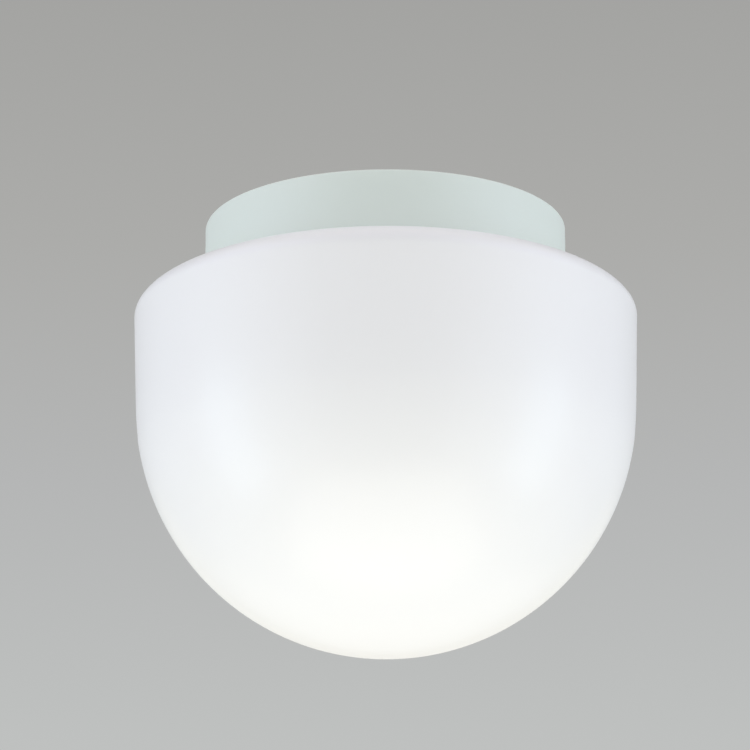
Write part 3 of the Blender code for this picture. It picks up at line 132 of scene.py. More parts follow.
@dataclass
class Profile:
    """Half section of a turned piece, drawn as radius and height in the XZ plane."""

    # the bmesh that holds the section's points and edges
    bm: BMesh = field(default_factory=bmesh.new)
    # the section's points in the order they were drawn
    chain: list[BMVert] = field(default_factory=list)
    # corners to round, each with its radius
    rounded: list[tuple[BMVert, float]] = field(default_factory=list)

    def to(self, radius: float, height: float, rounding: float = 0) -> "Profile":
        """Draw a straight side to a corner.

        Args:
            radius: Distance of the corner from the axis.
            height: Z of the corner.
            rounding: Radius that the corner is rounded to, or 0 for a sharp one.

        Returns:
            This profile, so that calls can follow each other.
        """
        corner = self.bm.verts.new((radius, 0, height))
        if self.chain:
            self.bm.edges.new((self.chain[-1], corner))
        self.chain.append(corner)
        if rounding:
            self.rounded.append((corner, rounding))
        return self

    def run(self, radius: float, height: float, steps: int) -> "Profile":
        """Draw a straight side in several equal steps.

        Args:
            radius: Distance of the far end from the axis.
            height: Z of the far end.
            steps: Number of equal steps.

        Returns:
            This profile.
        """
        start, end = self.chain[-1].co.copy(), Vector((radius, 0, height))
        for step in range(1, steps + 1):
            place = start.lerp(end, step / steps)
            self.to(place.x, place.z)
        return self

    def arc(self, centre: Pair, radii: Pair, first: float, last: float, steps: int) -> "Profile":
        """Draw an elliptical arc by spinning one point and scaling what it leaves.

        Args:
            centre: Radius and height of the ellipse's centre.
            radii: Half sizes of the ellipse, outwards and upwards.
            first: Angle of the first point, from outwards towards up.
            last: Angle of the last point.
            steps: Number of steps.

        Returns:
            This profile.
        """
        start = self.bm.verts.new((math.cos(first), 0, math.sin(first)))
        known = len(self.bm.verts) - 1
        bmesh.ops.spin(
            self.bm, geom=[start], cent=(0, 0, 0), axis=(0, -1, 0),
            angle=last - first, steps=steps,
        )
        self.bm.verts.ensure_lookup_table()
        swept = self.bm.verts[known:]
        bmesh.ops.scale(self.bm, vec=(radii[0], 1, radii[1]), verts=swept)
        bmesh.ops.translate(self.bm, vec=(centre[0], 0, centre[1]), verts=swept)
        if self.chain:
            self.bm.edges.new((self.chain[-1], start))
        self.chain.extend(swept)
        return self

    def close(self) -> "Profile":
        """Join the last point to the first one."""
        self.bm.edges.new((self.chain[-1], self.chain[0]))
        return self

    def ease(self, centre: Pair, reach: float, passes: int) -> "Profile":
        """Smooth the points near a place, so that two sides flow into each other.

        Args:
            centre: Radius and height of the place.
            reach: Distance within which points are smoothed.
            passes: Number of smoothing passes.

        Returns:
            This profile.
        """
        middle = Vector((centre[0], 0, centre[1]))
        near = [vert for vert in self.chain if (vert.co - middle).length < reach]
        for _ in range(passes):
            bmesh.ops.smooth_vert(
                self.bm, verts=near, factor=0.5, use_axis_x=True, use_axis_z=True
            )
        return self

    def turned(self, segments: int, centre: Vector | None = None) -> BMesh:
        """Spin the section into a closed solid about a vertical axis.

        Args:
            segments: Number of steps in the full turn.
            centre: Where the axis stands and how far the solid is lifted.

        Returns:
            The solid's bmesh, which is this profile's own.
        """
        for corner, radius in self.rounded:
            bevel(self.bm, [corner], radius, 4, Affect.CORNERS)
        bmesh.ops.spin(
            self.bm, geom=self.bm.verts[:] + self.bm.edges[:], cent=(0, 0, 0),
            axis=(0, 0, 1), angle=math.tau, steps=segments, use_merge=True,
        )
        bmesh.ops.remove_doubles(self.bm, verts=self.bm.verts, dist=MERGE_DISTANCE)
        on_axis = [edge for edge in self.bm.edges if edge.is_wire]
        bmesh.ops.delete(self.bm, geom=on_axis, context="EDGES")
        bmesh.ops.recalc_face_normals(self.bm, faces=self.bm.faces)
        if centre is not None:
            bmesh.ops.translate(self.bm, vec=centre, verts=self.bm.verts)
        return self.bm


def flat_ring(inner: float, outer: float, top: float, thickness: float, edge: float) -> Profile:
    """Draw a flat ring from the Z of its upper face down, with rounded edges."""
    profile = Profile().to(inner, top, edge).to(outer, top, edge)
    return profile.to(outer, top - thickness, edge).to(inner, top - thickness, edge).close()


def block(size: Triple, centre: Iterable[float], edge: float = 0, segments: int = 3) -> BMesh:
    """Make a box with rounded edges.

    Args:
        size: Length, width and height.
        centre: Middle of the box.
        edge: Radius of its edges, or 0 for sharp ones.
        segments: Steps across a rounded edge.

    Returns:
        The box's bmesh.
    """
    bm = bmesh.new()
    matrix = Matrix.Translation(Vector(centre)) @ Matrix.Diagonal((*size, 1))
    bmesh.ops.create_cube(bm, size=1, matrix=matrix)
    if edge:
        bevel(bm, bm.edges[:], edge, segments)
    return bm


def rod(radius: float, height: float, top: Vector, segments: int) -> BMesh:
    """Make an upright round bar that hangs down from a place.

    Args:
        radius: Radius of the bar.
        height: Length of the bar.
        top: Middle of its upper face.
        segments: Number of sides.

    Returns:
        The bar's bmesh.
    """
    bm = bmesh.new()
    bmesh.ops.create_cone(
        bm, cap_ends=True, segments=segments, radius1=radius, radius2=radius,
        depth=height, matrix=Matrix.Translation(top - UP * height / 2),
    )
    return bm


def drill(radius: float, depth: float, top: Vector, segments: int = 28) -> BMesh:
    """Make the cutter of a round hole through a sheet, from a place on its upper face."""
    return rod(radius, depth + 2 * OVERSHOOT, top + UP * OVERSHOOT, segments)


def stadium(radius: float, half_run: float, height: float, top: Vector) -> BMesh:
    """Make an upright prism with round ends, drawn out along Y.

    Args:
        radius: Radius of the round ends.
        half_run: Half the distance between their centres.
        height: Height of the prism.
        top: Middle of its upper face.

    Returns:
        The prism's bmesh.
    """
    bm = moved(rod(radius, height, Vector(), 48), Vector(), math.pi / 48)
    for side in SIDES:
        half = [vert for vert in bm.verts if vert.co.y * side > 0]
        bmesh.ops.translate(bm, vec=(0, side * half_run, 0), verts=half)
    return moved(bm, top)


def merged(*shapes: BMesh) -> BMesh:
    """Gather several bmeshes into the first one and free the others.

    Args:
        shapes: The bmeshes, which don't touch each other.

    Returns:
        The first bmesh, which then holds them all.
    """
    first, *others = shapes
    for other in others:
        carrier = bpy.data.meshes.new("carrier")
        other.to_mesh(carrier)
        other.free()
        first.from_mesh(carrier)
        bpy.data.meshes.remove(carrier)
    return first


class Operation(Enum):
    """What a boolean step does with its shape."""

    JOIN = "UNION"
    CUT = "DIFFERENCE"


JOIN, CUT = Operation.JOIN, Operation.CUT


def carved(base: BMesh, *steps: tuple[Operation, BMesh]) -> BMesh:
    """Join shapes to a solid and cut shapes from it, in order.

    Args:
        base: The solid to start from, which is freed.
        steps: What to do with each shape, and the shape, which is freed.

    Returns:
        A new bmesh of the finished solid.
    """
    made = []
    for shape in (base, *(shape for _, shape in steps)):
        mesh = bpy.data.meshes.new("carving")
        shape.to_mesh(mesh)
        shape.free()
        made.append(bpy.data.objects.new("carving", mesh))
        bpy.context.scene.collection.objects.link(made[-1])
    body, *tools = made
    for (operation, _), tool in zip(steps, tools):
        modifier = body.modifiers.new("carving", "BOOLEAN")
        modifier.operation = operation.value
        modifier.solver = "EXACT"
        modifier.object = tool
    result = bmesh.new()
    result.from_object(body, bpy.context.evaluated_depsgraph_get())
    bmesh.ops.dissolve_degenerate(result, edges=result.edges, dist=SLIVER)
    for item in made:
        mesh = item.data
        bpy.data.objects.remove(item)
        bpy.data.meshes.remove(mesh)
    return result


@dataclass(frozen=True)
class Thread:
    """The coarse helical thread that the pan and the cover share."""

    pitch: float = 0.0045  # climb in one full turn
    turns: float = 1.75  # length of the ridge in turns
    height: float = 0.0018  # how far the ridge stands out of its wall
    root_width: float = 0.0024  # width of the ridge at its wall
    crest_width: float = 0.0009  # width of the ridge's crest
    start: float = -0.0186  # Z of the ridge's lower end
    segments: int = 144  # steps in one turn
    sink: float = 0.0008  # how far the ridge starts inside its wall
    run_out: float = 5 / 48  # share of a turn over which each end fades into the wall

    def ridge(self, wall_radius: float, side: int, turn: float) -> BMesh:
        """Spin the ridge's section up its helix.

        Args:
            wall_radius: Radius of the wall that carries the ridge.
            side: 1 for a ridge that stands outwards, -1 for one that stands inwards.
            turn: Angle of the ridge's lower end.

        Returns:
            The ridge's bmesh, a closed solid that starts inside its wall.
        """
        root = wall_radius - side * self.sink
        crest = wall_radius + side * self.height
        bm = bmesh.new()
        corners = [
            bm.verts.new((root, 0, -self.root_width / 2)),
            bm.verts.new((crest, 0, -self.crest_width / 2)),
            bm.verts.new((crest, 0, self.crest_width / 2)),
            bm.verts.new((root, 0, self.root_width / 2)),
        ]
        section = bm.faces.new(corners)
        bevel(bm, corners[1:3], self.crest_width / 3, 3, Affect.CORNERS)
        section = bm.faces[:][0]
        count = len(section.verts)
        steps = round(self.turns * self.segments)
        bmesh.ops.spin(
            bm, geom=[section], cent=(0, 0, 0), axis=(0, 0, 1),
            dvec=(0, 0, self.pitch / self.segments),
            angle=math.tau * steps / self.segments, steps=steps,
        )
        bm.verts.index_update()
        fade = self.run_out * self.segments
        for vert in bm.verts:
            station = vert.index // count
            rise = min(1, station / fade, (steps - station) / fade)
            radius = vert.co.xy.length
            vert.co.xy *= (root + (radius - root) * (1 + 5 * rise) / 6) / radius
        moved(bm, UP * self.start, turn + math.pi / self.segments)
        bmesh.ops.recalc_face_normals(bm, faces=bm.faces)
        return bm


# --------------------------------------------------------------------------- shader nodes


class Graph:
    """The nodes of a material, a world or a group, with short calls to add and join them."""

    RANGE = ("Value", "From Min", "From Max", "To Min", "To Max")

    def __init__(self, tree: bpy.types.NodeTree) -> None:
        """Start from a node tree."""
        self.tree = tree

    def add(self, kind: str, inputs: dict | None = None, **settings: object) -> bpy.types.Node:
        """Add a node.

        Args:
            kind: The node's type name.
            inputs: What each named or numbered input takes, a value or another socket.
            settings: Properties of the node.

        Returns:
            The new node.
        """
        node = self.tree.nodes.new(kind)
        for key, value in settings.items():
            setattr(node, key, value)
        for key, value in (inputs or {}).items():
            self.feed(node.inputs[key], value)
        return node

    def feed(self, socket: Socket, value: object) -> None:
        """Give an input a value, or link another node's output to it.

        Args:
            socket: The input.
            value: A number, a vector, a linear colour or an output socket.
        """
        if isinstance(value, Socket):
            self.tree.links.new(value, socket)
        elif socket.type == "RGBA" and len(value) == 3:
            socket.default_value = (*value, 1)
        else:
            socket.default_value = value

    def math(self, operation: str, first: object, second: object = 0.0) -> Socket:
        """Do one sum on two numbers or sockets, and return its result."""
        node = self.add("ShaderNodeMath", {0: first, 1: second}, operation=operation)
        return node.outputs[0]

    def times(self, first: object, second: object) -> Socket:
        """Multiply two numbers or sockets."""
        return self.math("MULTIPLY", first, second)

    def wave(self, value: Socket, length: float) -> Socket:
        """Return a sine that repeats whenever a value has grown by a length."""
        return self.math("SINE", self.times(value, math.tau / length))

    def split(self, vector: Socket) -> bpy.types.NodeOutputs:
        """Return the X, Y and Z of a vector."""
        return self.add("ShaderNodeSeparateXYZ", {0: vector}).outputs

    def spread(self, value: Socket, low: object, high: object, out: tuple = (0, 1)) -> Socket:
        """Map the range from low to high onto another and clamp it, and return the result."""
        inputs = dict(zip(self.RANGE, (value, low, high, *out)))
        return self.add("ShaderNodeMapRange", inputs).outputs["Result"]

    def mix(self, share: object, first: object, second: object, kind: str = "MIX") -> Socket:
        """Mix two colours by the share of the second one, and return the result."""
        inputs = {0: share, 6: first, 7: second}
        return self.add("ShaderNodeMix", inputs, data_type="RGBA", blend_type=kind).outputs[2]

    def dimmed(self, colour: Socket, level: object) -> Socket:
        """Multiply a colour by another colour or by a grey of one level."""
        grey = level if isinstance(level, Socket) else (level, level, level)
        return self.mix(1.0, colour, grey, "MULTIPLY")

    def noise(self, vector: Socket, scale: object, detail: float = 3.0) -> Socket:
        """Read a noise pattern at a scale, and return its value."""
        node = self.add("ShaderNodeTexNoise", {
            "Vector": vector, "Scale": scale, "Detail": detail, "Roughness": 0.55,
        })
        return node.outputs[0]

    def mapped(self, vector: Socket, scale: Triple, place: Triple = (0, 0, 0)) -> Socket:
        """Scale and shift pattern coordinates, and return them."""
        node = self.add("ShaderNodeMapping", {"Vector": vector, "Scale": scale, "Location": place})
        return node.outputs[0]

    def bump(self, height: Socket, depth: float) -> Socket:
        """Turn a height into a normal, where a height of 1 stands for a depth in metres."""
        node = self.add("ShaderNodeBump", {"Height": height, "Distance": depth, "Strength": 1.0})
        return node.outputs[0]


class Effect(Enum):
    """Surface effects that several finishes share, each one shader node group."""

    MOTTLE = "faint_mottle"
    POLISH = "uneven_polish"
    GRAIN = "fine_grain"
    DUST = "settled_dust"


class Effects:
    """Builds each shared effect once, as a node group with named inputs and an output."""

    KINDS = {"Vector": "NodeSocketVector", "Colour": "NodeSocketColor"}  # others are floats

    def __init__(self) -> None:
        """Build the groups."""
        self.groups: dict[Effect, bpy.types.NodeTree] = {}
        self._mottle()
        self._polish()
        self._grain()
        self._dust()

    def _start(self, effect: Effect, output: str, *inputs: str) -> tuple[Graph, Socket, list]:
        """Start a group.

        Args:
            effect: The effect that the group is for.
            output: Name of its output.
            inputs: Names of its inputs.

        Returns:
            The group's nodes, the socket that takes its result, and its inputs.
        """
        tree = bpy.data.node_groups.new(effect.value, "ShaderNodeTree")
        for name, way in (*((name, "INPUT") for name in inputs), (output, "OUTPUT")):
            kind = self.KINDS.get(name, "NodeSocketFloat")
            tree.interface.new_socket(name=name, in_out=way, socket_type=kind)
        self.groups[effect] = tree
        graph = Graph(tree)
        given, result = graph.add("NodeGroupInput"), graph.add("NodeGroupOutput")
        return graph, result.inputs[0], [given.outputs[name] for name in inputs]

    def _mottle(self) -> None:
        """Build the group that varies a colour's lightness a little."""
        graph, result, (place, colour, scale, amount) = self._start(
            Effect.MOTTLE, "Colour", "Vector", "Colour", "Scale", "Amount"
        )
        wide = graph.times(graph.noise(place, scale, 2), 0.7)
        fine = graph.times(graph.noise(place, graph.times(scale, 9), 2), 0.3)
        centred = graph.math("SUBTRACT", graph.math("ADD", wide, fine), 0.5)
        level = graph.math("ADD", graph.times(centred, amount), 1)
        grey = graph.add("ShaderNodeCombineColor", {0: level, 1: level, 2: level}).outputs[0]
        graph.feed(result, graph.dimmed(colour, grey))

    def _polish(self) -> None:
        """Build the group that varies roughness, with a few finer rubs."""
        graph, result, (place, scale, low, high) = self._start(
            Effect.POLISH, "Roughness", "Vector", "Scale", "Low", "High"
        )
        wide = graph.noise(place, scale, 3)
        rubs = graph.noise(graph.mapped(place, (1, 1, 7)), graph.times(scale, 6), 4)
        both = graph.times(graph.math("ADD", wide, rubs), 0.5)
        graph.feed(result, graph.spread(both, 0.3, 0.7, (low, high)))

    def _grain(self) -> None:
        """Build the group that gives a fine height with a coarser swell under it."""
        graph, result, (place, scale, swell) = self._start(
            Effect.GRAIN, "Height", "Vector", "Scale", "Swell"
        )
        coarse = graph.noise(place, graph.times(scale, 0.12), 2)
        fine = graph.noise(place, scale, 2)
        graph.feed(result, graph.math("ADD", fine, graph.times(coarse, swell)))

    def _dust(self) -> None:
        """Build the group that greys a colour where dust settles on faces that look up."""
        graph, result, (place, colour, amount) = self._start(
            Effect.DUST, "Colour", "Vector", "Colour", "Amount"
        )
        rise = graph.split(graph.add("ShaderNodeNewGeometry").outputs["Normal"])["Z"]
        patch = graph.spread(graph.noise(place, 260, 4), 0.4, 0.65)
        share = graph.times(graph.times(graph.spread(rise, 0.2, 0.95), patch), amount)
        graph.feed(result, graph.mix(share, colour, linear((150, 146, 138))))


class Surface(Graph):
    """The nodes of one finish's material: its shader, and patterns on object coordinates."""

    def __init__(self, name: str, effects: Effects) -> None:
        """Start the material.

        Args:
            name: The material's name.
            effects: The shared effects.
        """
        self.material = bpy.data.materials.new(name)
        self.material.use_nodes = True
        super().__init__(self.material.node_tree)
        self.shader = self.tree.nodes["Principled BSDF"]
        self.place = self.add("ShaderNodeTexCoord").outputs["Object"]
        self.groups = effects.groups

    def effect(self, effect: Effect, **inputs: object) -> Socket:
        """Place a shared effect with its own values, and return its output."""
        inputs["Vector"] = self.place
        return self.add("ShaderNodeGroup", inputs, node_tree=self.groups[effect]).outputs[0]

    def set(self, **values: object) -> None:
        """Feed the shader's inputs, each named with _ for a space."""
        for name, value in values.items():
            self.feed(self.shader.inputs[name.replace("_", " ")], value)


# --------------------------------------------------------------------------- finishes


@dataclass(frozen=True)
class Finish:
    """A moulded or painted surface: its colour, polish and fine grain."""

    name: str
    slot: str  # the record's material slot that it stands for
    colour: Triple  # display colour, 0 to 255
    polish: Pair  # lowest and highest roughness
    mottle: Pair  # how much the colour's lightness varies, and at what scale
    metallic: float = 0.0
    grain: Pair = (1500, 0.00002)  # scale and depth of the fine grain
    swell: float = 1.0  # strength of the coarser swell under the grain
    dust: float = 0.0  # dust on faces that look up

    def build(self, effects: Effects) -> bpy.types.Material:
        """Build the material.

        Args:
            effects: The shared effects.

        Returns:
            The finished material.
        """
        surface = Surface(self.name, effects)
        surface.set(
            Metallic=self.metallic, Base_Color=self.tone(surface),
            Roughness=self.gloss(surface), Normal=self.relief(surface),
        )
        self.trim(surface)
        return surface.material

    def tone(self, surface: Surface) -> Socket:
        """Mottle the colour, and settle dust on it.

        Args:
            surface: The material's nodes.

        Returns:
            The socket that colours the surface.
        """
        amount, scale = self.mottle
        colour = surface.effect(
            Effect.MOTTLE, Colour=linear(self.colour), Scale=scale, Amount=amount
        )
        if self.dust:
            colour = surface.effect(Effect.DUST, Colour=colour, Amount=self.dust)
        return colour

    def gloss(self, surface: Surface) -> Socket:
        """Return the socket that sets the roughness."""
        low, high = self.polish
        return surface.effect(Effect.POLISH, Scale=self.mottle[1], Low=low, High=high)

    def relief(self, surface: Surface) -> Socket:
        """Return the socket that sets the normal."""
        height = surface.effect(Effect.GRAIN, Scale=self.grain[0], Swell=self.swell)
        return surface.bump(height, self.grain[1])

    def trim(self, surface: Surface) -> None:
        """Set what a plain finish leaves at its default, which is nothing."""


@dataclass(frozen=True)
class OpalAcrylic(Finish):
    """Opal acrylic: a milky, satin-glossy plastic that light sinks into."""

    coat: float = 0.18  # weight of the clear skin over the milk

    def trim(self, surface: Surface) -> None:
        """Give the milk its smooth skin and its refraction."""
        surface.set(IOR=1.49, Coat_Weight=self.coat, Coat_Roughness=0.12)


@dataclass(frozen=True)
class CellFoam(Finish):
    """Open-cell foam: torn cells, with painted shade in their depths."""

    cells: float = 1400.0  # scale of the cells
    cell_depth: float = 0.00035  # how deep the cells are

    def pores(self, surface: Surface) -> Socket:
        """Return how high the foam stands, 0 in a cell's depth and 1 on its wall."""
        node = surface.add("ShaderNodeTexVoronoi", {"Vector": surface.place, "Scale": self.cells})
        return surface.spread(node.outputs["Distance"], 0.05, 0.6)

    def tone(self, surface: Surface) -> Socket:
        """Paint shade into the cells by darkening the colour there."""
        skin = super().tone(surface)
        # painted shade: the cells' depths take the foam colour darkened to a quarter
        return surface.mix(self.pores(surface), surface.dimmed(skin, 0.25), skin)

    def relief(self, surface: Surface) -> Socket:
        """Sink the cells into the surface."""
        return surface.bump(self.pores(surface), self.cell_depth)


@dataclass(frozen=True)
class DrawnMetal(Finish):
    """Bare sheet or turned metal with the lines that rolling or turning left."""

    lines: Triple = (1, 60, 60)  # how much finer the lines are on each axis
    tarnish: Triple = (120, 118, 112)  # display colour of the duller patches

    def streaks(self, surface: Surface) -> Socket:
        """Return the pattern of lines."""
        return surface.noise(surface.mapped(surface.place, self.lines), 35, 4)

    def tone(self, surface: Surface) -> Socket:
        """Dull the metal in patches and along its lines.

        Args:
            surface: The material's nodes.

        Returns:
            The socket that colours the metal.
        """
        spots = surface.noise(surface.place, self.mottle[1] * 2, 5)
        share = surface.times(surface.spread(spots, 0.5, 0.75, (0, 0.35)), self.streaks(surface))
        return surface.mix(share, super().tone(surface), linear(self.tarnish))

    def relief(self, surface: Surface) -> Socket:
        """Press the lines into the surface."""
        return surface.bump(self.streaks(surface), self.grain[1])


@dataclass(frozen=True)
class CircuitBoard(Finish):
    """Printed board: resist over copper tracks, which show a little lighter and raised."""

    track: Triple = (40, 120, 70)  # display colour of the resist over a track
    pitch: float = 0.0012  # distance between two tracks
    patch: float = 190.0  # scale of the patches in which tracks run one way
    track_depth: float = 0.00004  # how far a track stands up

    def tracks(self, surface: Surface) -> Socket:
        """Draw tracks that run across or along the board by patches, and filled patches.

        Args:
            surface: The material's nodes.

        Returns:
            A mask, 1 on the copper and 0 beside it.
        """
        patches = surface.add(
            "ShaderNodeTexVoronoi",
            {"Vector": surface.place, "Scale": self.patch, "Randomness": 0.8},
            distance="CHEBYCHEV",
        ).outputs
        chance = surface.add("ShaderNodeSeparateColor", {0: patches["Color"]}).outputs
        along = surface.math("GREATER_THAN", chance[0], 0.5)
        shares = {"X": along, "Y": surface.math("SUBTRACT", 1, along)}
        ways = []
        for axis, share in shares.items():
            wave = surface.wave(surface.split(surface.place)[axis], self.pitch)
            ways.append(surface.times(surface.spread(wave, 0.15, 0.35), share))
        pour = surface.math("GREATER_THAN", chance[1], 0.72)
        clear = surface.spread(patches["Distance"], 0.36, 0.40, (1, 0))
        copper = surface.math("MAXIMUM", surface.math("ADD", *ways), pour)
        return surface.times(copper, clear)

    def tone(self, surface: Surface) -> Socket:
        """Lighten the resist over the tracks."""
        resist = super().tone(surface)
        return surface.mix(self.tracks(surface), resist, linear(self.track))

    def relief(self, surface: Surface) -> Socket:
        """Raise the tracks."""
        return surface.bump(self.tracks(surface), self.track_depth)


@dataclass(frozen=True)
class RingBoard(CircuitBoard):
    """Round light board: one ring of copper fields, a gap between each diode's two sides."""

    ring: Pair = (0.0355, 0.0042)  # radius of the ring's middle and half its width
    fields: int = 9  # number of copper fields
    gap: float = 0.00035  # half the width of a gap

    def tracks(self, surface: Surface) -> Socket:
        """Draw the ring's fields and the gaps between them.

        Args:
            surface: The material's nodes.

        Returns:
            A mask, 1 on the copper and 0 in the gaps.
        """
        flat = surface.mapped(surface.place, (1, 1, 0))
        length = surface.add("ShaderNodeVectorMath", {0: flat}, operation="LENGTH")
        radius = length.outputs["Value"]
        middle, half = self.ring
        offset = surface.math("ABSOLUTE", surface.math("SUBTRACT", radius, middle))
        edge = surface.math("ABSOLUTE", surface.math("SUBTRACT", offset, half))
        circles = surface.spread(edge, self.gap, self.gap * 1.5)
        axes = surface.split(surface.place)
        turn = surface.math("ARCTAN2", axes["X"], axes["Y"])
        wave = surface.math("SINE", surface.times(turn, self.fields / 2))
        width = self.gap / middle * self.fields / 2
        spokes = surface.spread(surface.math("ABSOLUTE", wave), width, width * 1.5)
        outside = surface.math("GREATER_THAN", offset, half)
        return surface.times(circles, surface.math("MAXIMUM", spokes, outside))


@dataclass(frozen=True)
class WoundSurface(Finish):
    """Wire or tape wound round an upright axis: turns that lie on each other."""

    turn: float = 0.0004  # height of one turn
    turn_depth: float = 0.0001  # depth of the groove between two turns

    def turns(self, surface: Surface) -> Socket:
        """Return how high each turn stands, 1 on its crest and 0 in the groove."""
        wave = surface.wave(surface.split(surface.place)["Z"], self.turn)
        return surface.spread(wave, -1, 1)

    def tone(self, surface: Surface) -> Socket:
        """Paint shade into the grooves by darkening the colour there."""
        crest = super().tone(surface)
        # painted shade: the grooves between turns take the colour darkened to about a third
        return surface.mix(self.turns(surface), surface.dimmed(crest, 0.35), crest)

    def relief(self, surface: Surface) -> Socket:
        """Round each turn."""
        return surface.bump(self.turns(surface), self.turn_depth)


@dataclass(frozen=True)
class ClearPlastic(Finish):
    """Clear moulded plastic that bends the light which passes it."""

    clearness: float = 0.92  # share of the light that passes
    ior: float = 1.49  # index of refraction

    def trim(self, surface: Surface) -> None:
        """Let light through and bend it."""
        surface.set(Transmission_Weight=self.clearness, IOR=self.ior)


@dataclass(frozen=True)
class GlowingPaper(Finish):
    """Floor paper that looks paler to the camera than the light makes it."""

    glow: float = 0.18  # how much paler

    def trim(self, surface: Surface) -> None:
        """Let the paper glow a little where the camera sees it."""
        seen = surface.add("ShaderNodeLightPath").outputs["Is Camera Ray"]
        surface.set(Emission_Color=(1, 1, 1), Emission_Strength=surface.times(seen, self.glow))


PAN_PAINT = Finish(
    "pan_paint_look", "pan_paint", (229, 239, 231), polish=(0.38, 0.50), mottle=(0.02, 45),
    grain=(900, 0.000025), swell=1.5, dust=0.05,
)
OPAL = OpalAcrylic(
    "opal_acrylic_look", "opal_acrylic", (248, 249, 249), polish=(0.30, 0.38), mottle=(0.012, 24),
    grain=(700, 0.000006), swell=3.0,
)
FOAM = CellFoam("foam_look", "black_foam", (58, 58, 60), polish=(0.85, 0.98), mottle=(0.25, 300))
RUBBER = Finish(
    "rubber_look", "grey_rubber", (118, 119, 122), polish=(0.60, 0.80), mottle=(0.14, 120),
    grain=(2600, 0.00004), dust=0.2,
)
WHITE_PLASTIC = Finish(
    "white_plastic_look", "white_plastic", (232, 232, 228), polish=(0.34, 0.50), mottle=(0.05, 90),
    grain=(2200, 0.00003), dust=0.15,
)
ORANGE_PLASTIC = Finish(
    "orange_plastic_look", "orange_plastic", (226, 116, 38), polish=(0.30, 0.46),
    mottle=(0.08, 200), grain=(2200, 0.00003),
)
BRASS = DrawnMetal(
    "brass_look", "brass", (216, 178, 104), polish=(0.22, 0.42), metallic=1.0, mottle=(0.12, 180),
    grain=(1500, 0.00001), lines=(1, 1, 40), tarnish=(122, 92, 56),
)
ZINC = DrawnMetal(
    "zinc_look", "zinc_steel", (202, 204, 206), polish=(0.22, 0.40), metallic=1.0,
    mottle=(0.10, 260), grain=(1500, 0.00001), lines=(1, 1, 30), tarnish=(128, 126, 122),
)
SOLDER = Finish(
    "solder_look", "zinc_steel", (196, 198, 200), polish=(0.16, 0.34), metallic=1.0,
    mottle=(0.16, 700), grain=(1800, 0.00003),
)
ALUMINIUM = DrawnMetal(
    "aluminium_look", "aluminium_sheet", (222, 223, 225), polish=(0.28, 0.44), metallic=1.0,
    mottle=(0.06, 60), grain=(1500, 0.000012), lines=(1, 55, 55), tarnish=(176, 176, 174),
)
GREEN_BOARD = CircuitBoard(
    "green_board_look", "green_board", (24, 82, 48), polish=(0.30, 0.44), mottle=(0.12, 160),
    track=(38, 112, 66),
)
WHITE_BOARD = RingBoard(
    "white_board_look", "white_board", (222, 224, 218), polish=(0.26, 0.38), mottle=(0.04, 90),
    track=(238, 238, 234),
)
FERRITE = Finish(
    "ferrite_look", "ferrite", (74, 74, 78), polish=(0.45, 0.66), mottle=(0.30, 500),
    grain=(4200, 0.00005),
)
TAPE = WoundSurface(
    "tape_look", "yellow_tape", (228, 190, 72), polish=(0.25, 0.42), mottle=(0.12, 220),
    turn=0.0011, turn_depth=0.00005,
)
SLEEVE = Finish(
    "sleeve_look", "capacitor_sleeve", (38, 40, 62), polish=(0.22, 0.36), mottle=(0.15, 300),
    grain=(1800, 0.00002),
)
COPPER = WoundSurface(
    "copper_look", "copper_wire", (196, 118, 74), polish=(0.22, 0.34), metallic=1.0,
    mottle=(0.14, 400), turn=0.00042, turn_depth=0.00012,
)
RESIN = Finish(
    "resin_look", "chip_resin", (44, 44, 46), polish=(0.42, 0.60), mottle=(0.18, 600),
    grain=(5200, 0.00003),
)
CERAMIC = Finish(
    "ceramic_look", "fuse_ceramic", (196, 214, 205), polish=(0.38, 0.55), mottle=(0.08, 500),
    grain=(3600, 0.00002),
)
PHOSPHOR = Finish(
    "phosphor_look", "diode_resin", (244, 208, 92), polish=(0.22, 0.36), mottle=(0.10, 900),
    grain=(3200, 0.00002),
)
CLEAR = ClearPlastic(
    "clear_lens_look", "clear_lens", (248, 250, 251), polish=(0.08, 0.16), mottle=(0.01, 60),
    grain=(500, 0.00001),
)
PAPER = GlowingPaper(
    "floor_paper", "", (238, 239, 238), polish=(0.7, 0.85), mottle=(0.03, 3), grain=(400, 0.0001),
)
BLACK_SHEATH = Finish(
    "black_sheath_look", "black_lead", (40, 40, 42), polish=(0.42, 0.58), mottle=(0.16, 300),
    grain=(2600, 0.00003),
)
WHITE_SHEATH = Finish(
    "white_sheath_look", "white_lead", (226, 226, 222), polish=(0.42, 0.58), mottle=(0.06, 300),
    grain=(2600, 0.00003),
)


class Body(Enum):
    """The moving bodies of the light."""

    FITTING = "fitting"
    PACKING = "packing"
    COVER = "cover"
    RELEASE = "release_button"


class Workshop:
    """Holds the built materials and adds finished pieces to the scene."""

    def __init__(self) -> None:
        """Build the shared effects."""
        self.effects = Effects()
        self.materials: dict[str, bpy.types.Material] = {}

    def add(
        self, name: str, bm: BMesh, finish: Finish, *nodes: str, body: Body = Body.FITTING
    ) -> bpy.types.Object:
        """Add a finished piece that stands for CAD nodes.

        Args:
            name: Name of the piece.
            bm: Its bmesh, which is freed.
            finish: Its finish.
            nodes: The CAD nodes that it replaces.
            body: The body that it rides on.

        Returns:
            The new object.
        """
        mesh = bpy.data.meshes.new(name)
        bm.to_mesh(mesh)
        bm.free()
        if finish.name not in self.materials:
            self.materials[finish.name] = finish.build(self.effects)
        mesh.materials.append(self.materials[finish.name])
        mesh.shade_smooth()
        mesh.set_sharp_from_angle(angle=SMOOTH_ANGLE)
        piece = bpy.data.objects.new(name, mesh)
        bpy.context.scene.collection.objects.link(piece)
        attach(piece, body.value)
        if nodes:
            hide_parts(*nodes)
        LOG.info("%s: %d faces, %s, on %s", name, len(mesh.polygons), finish.name, body.value)
        return piece


# --------------------------------------------------------------------------- the light


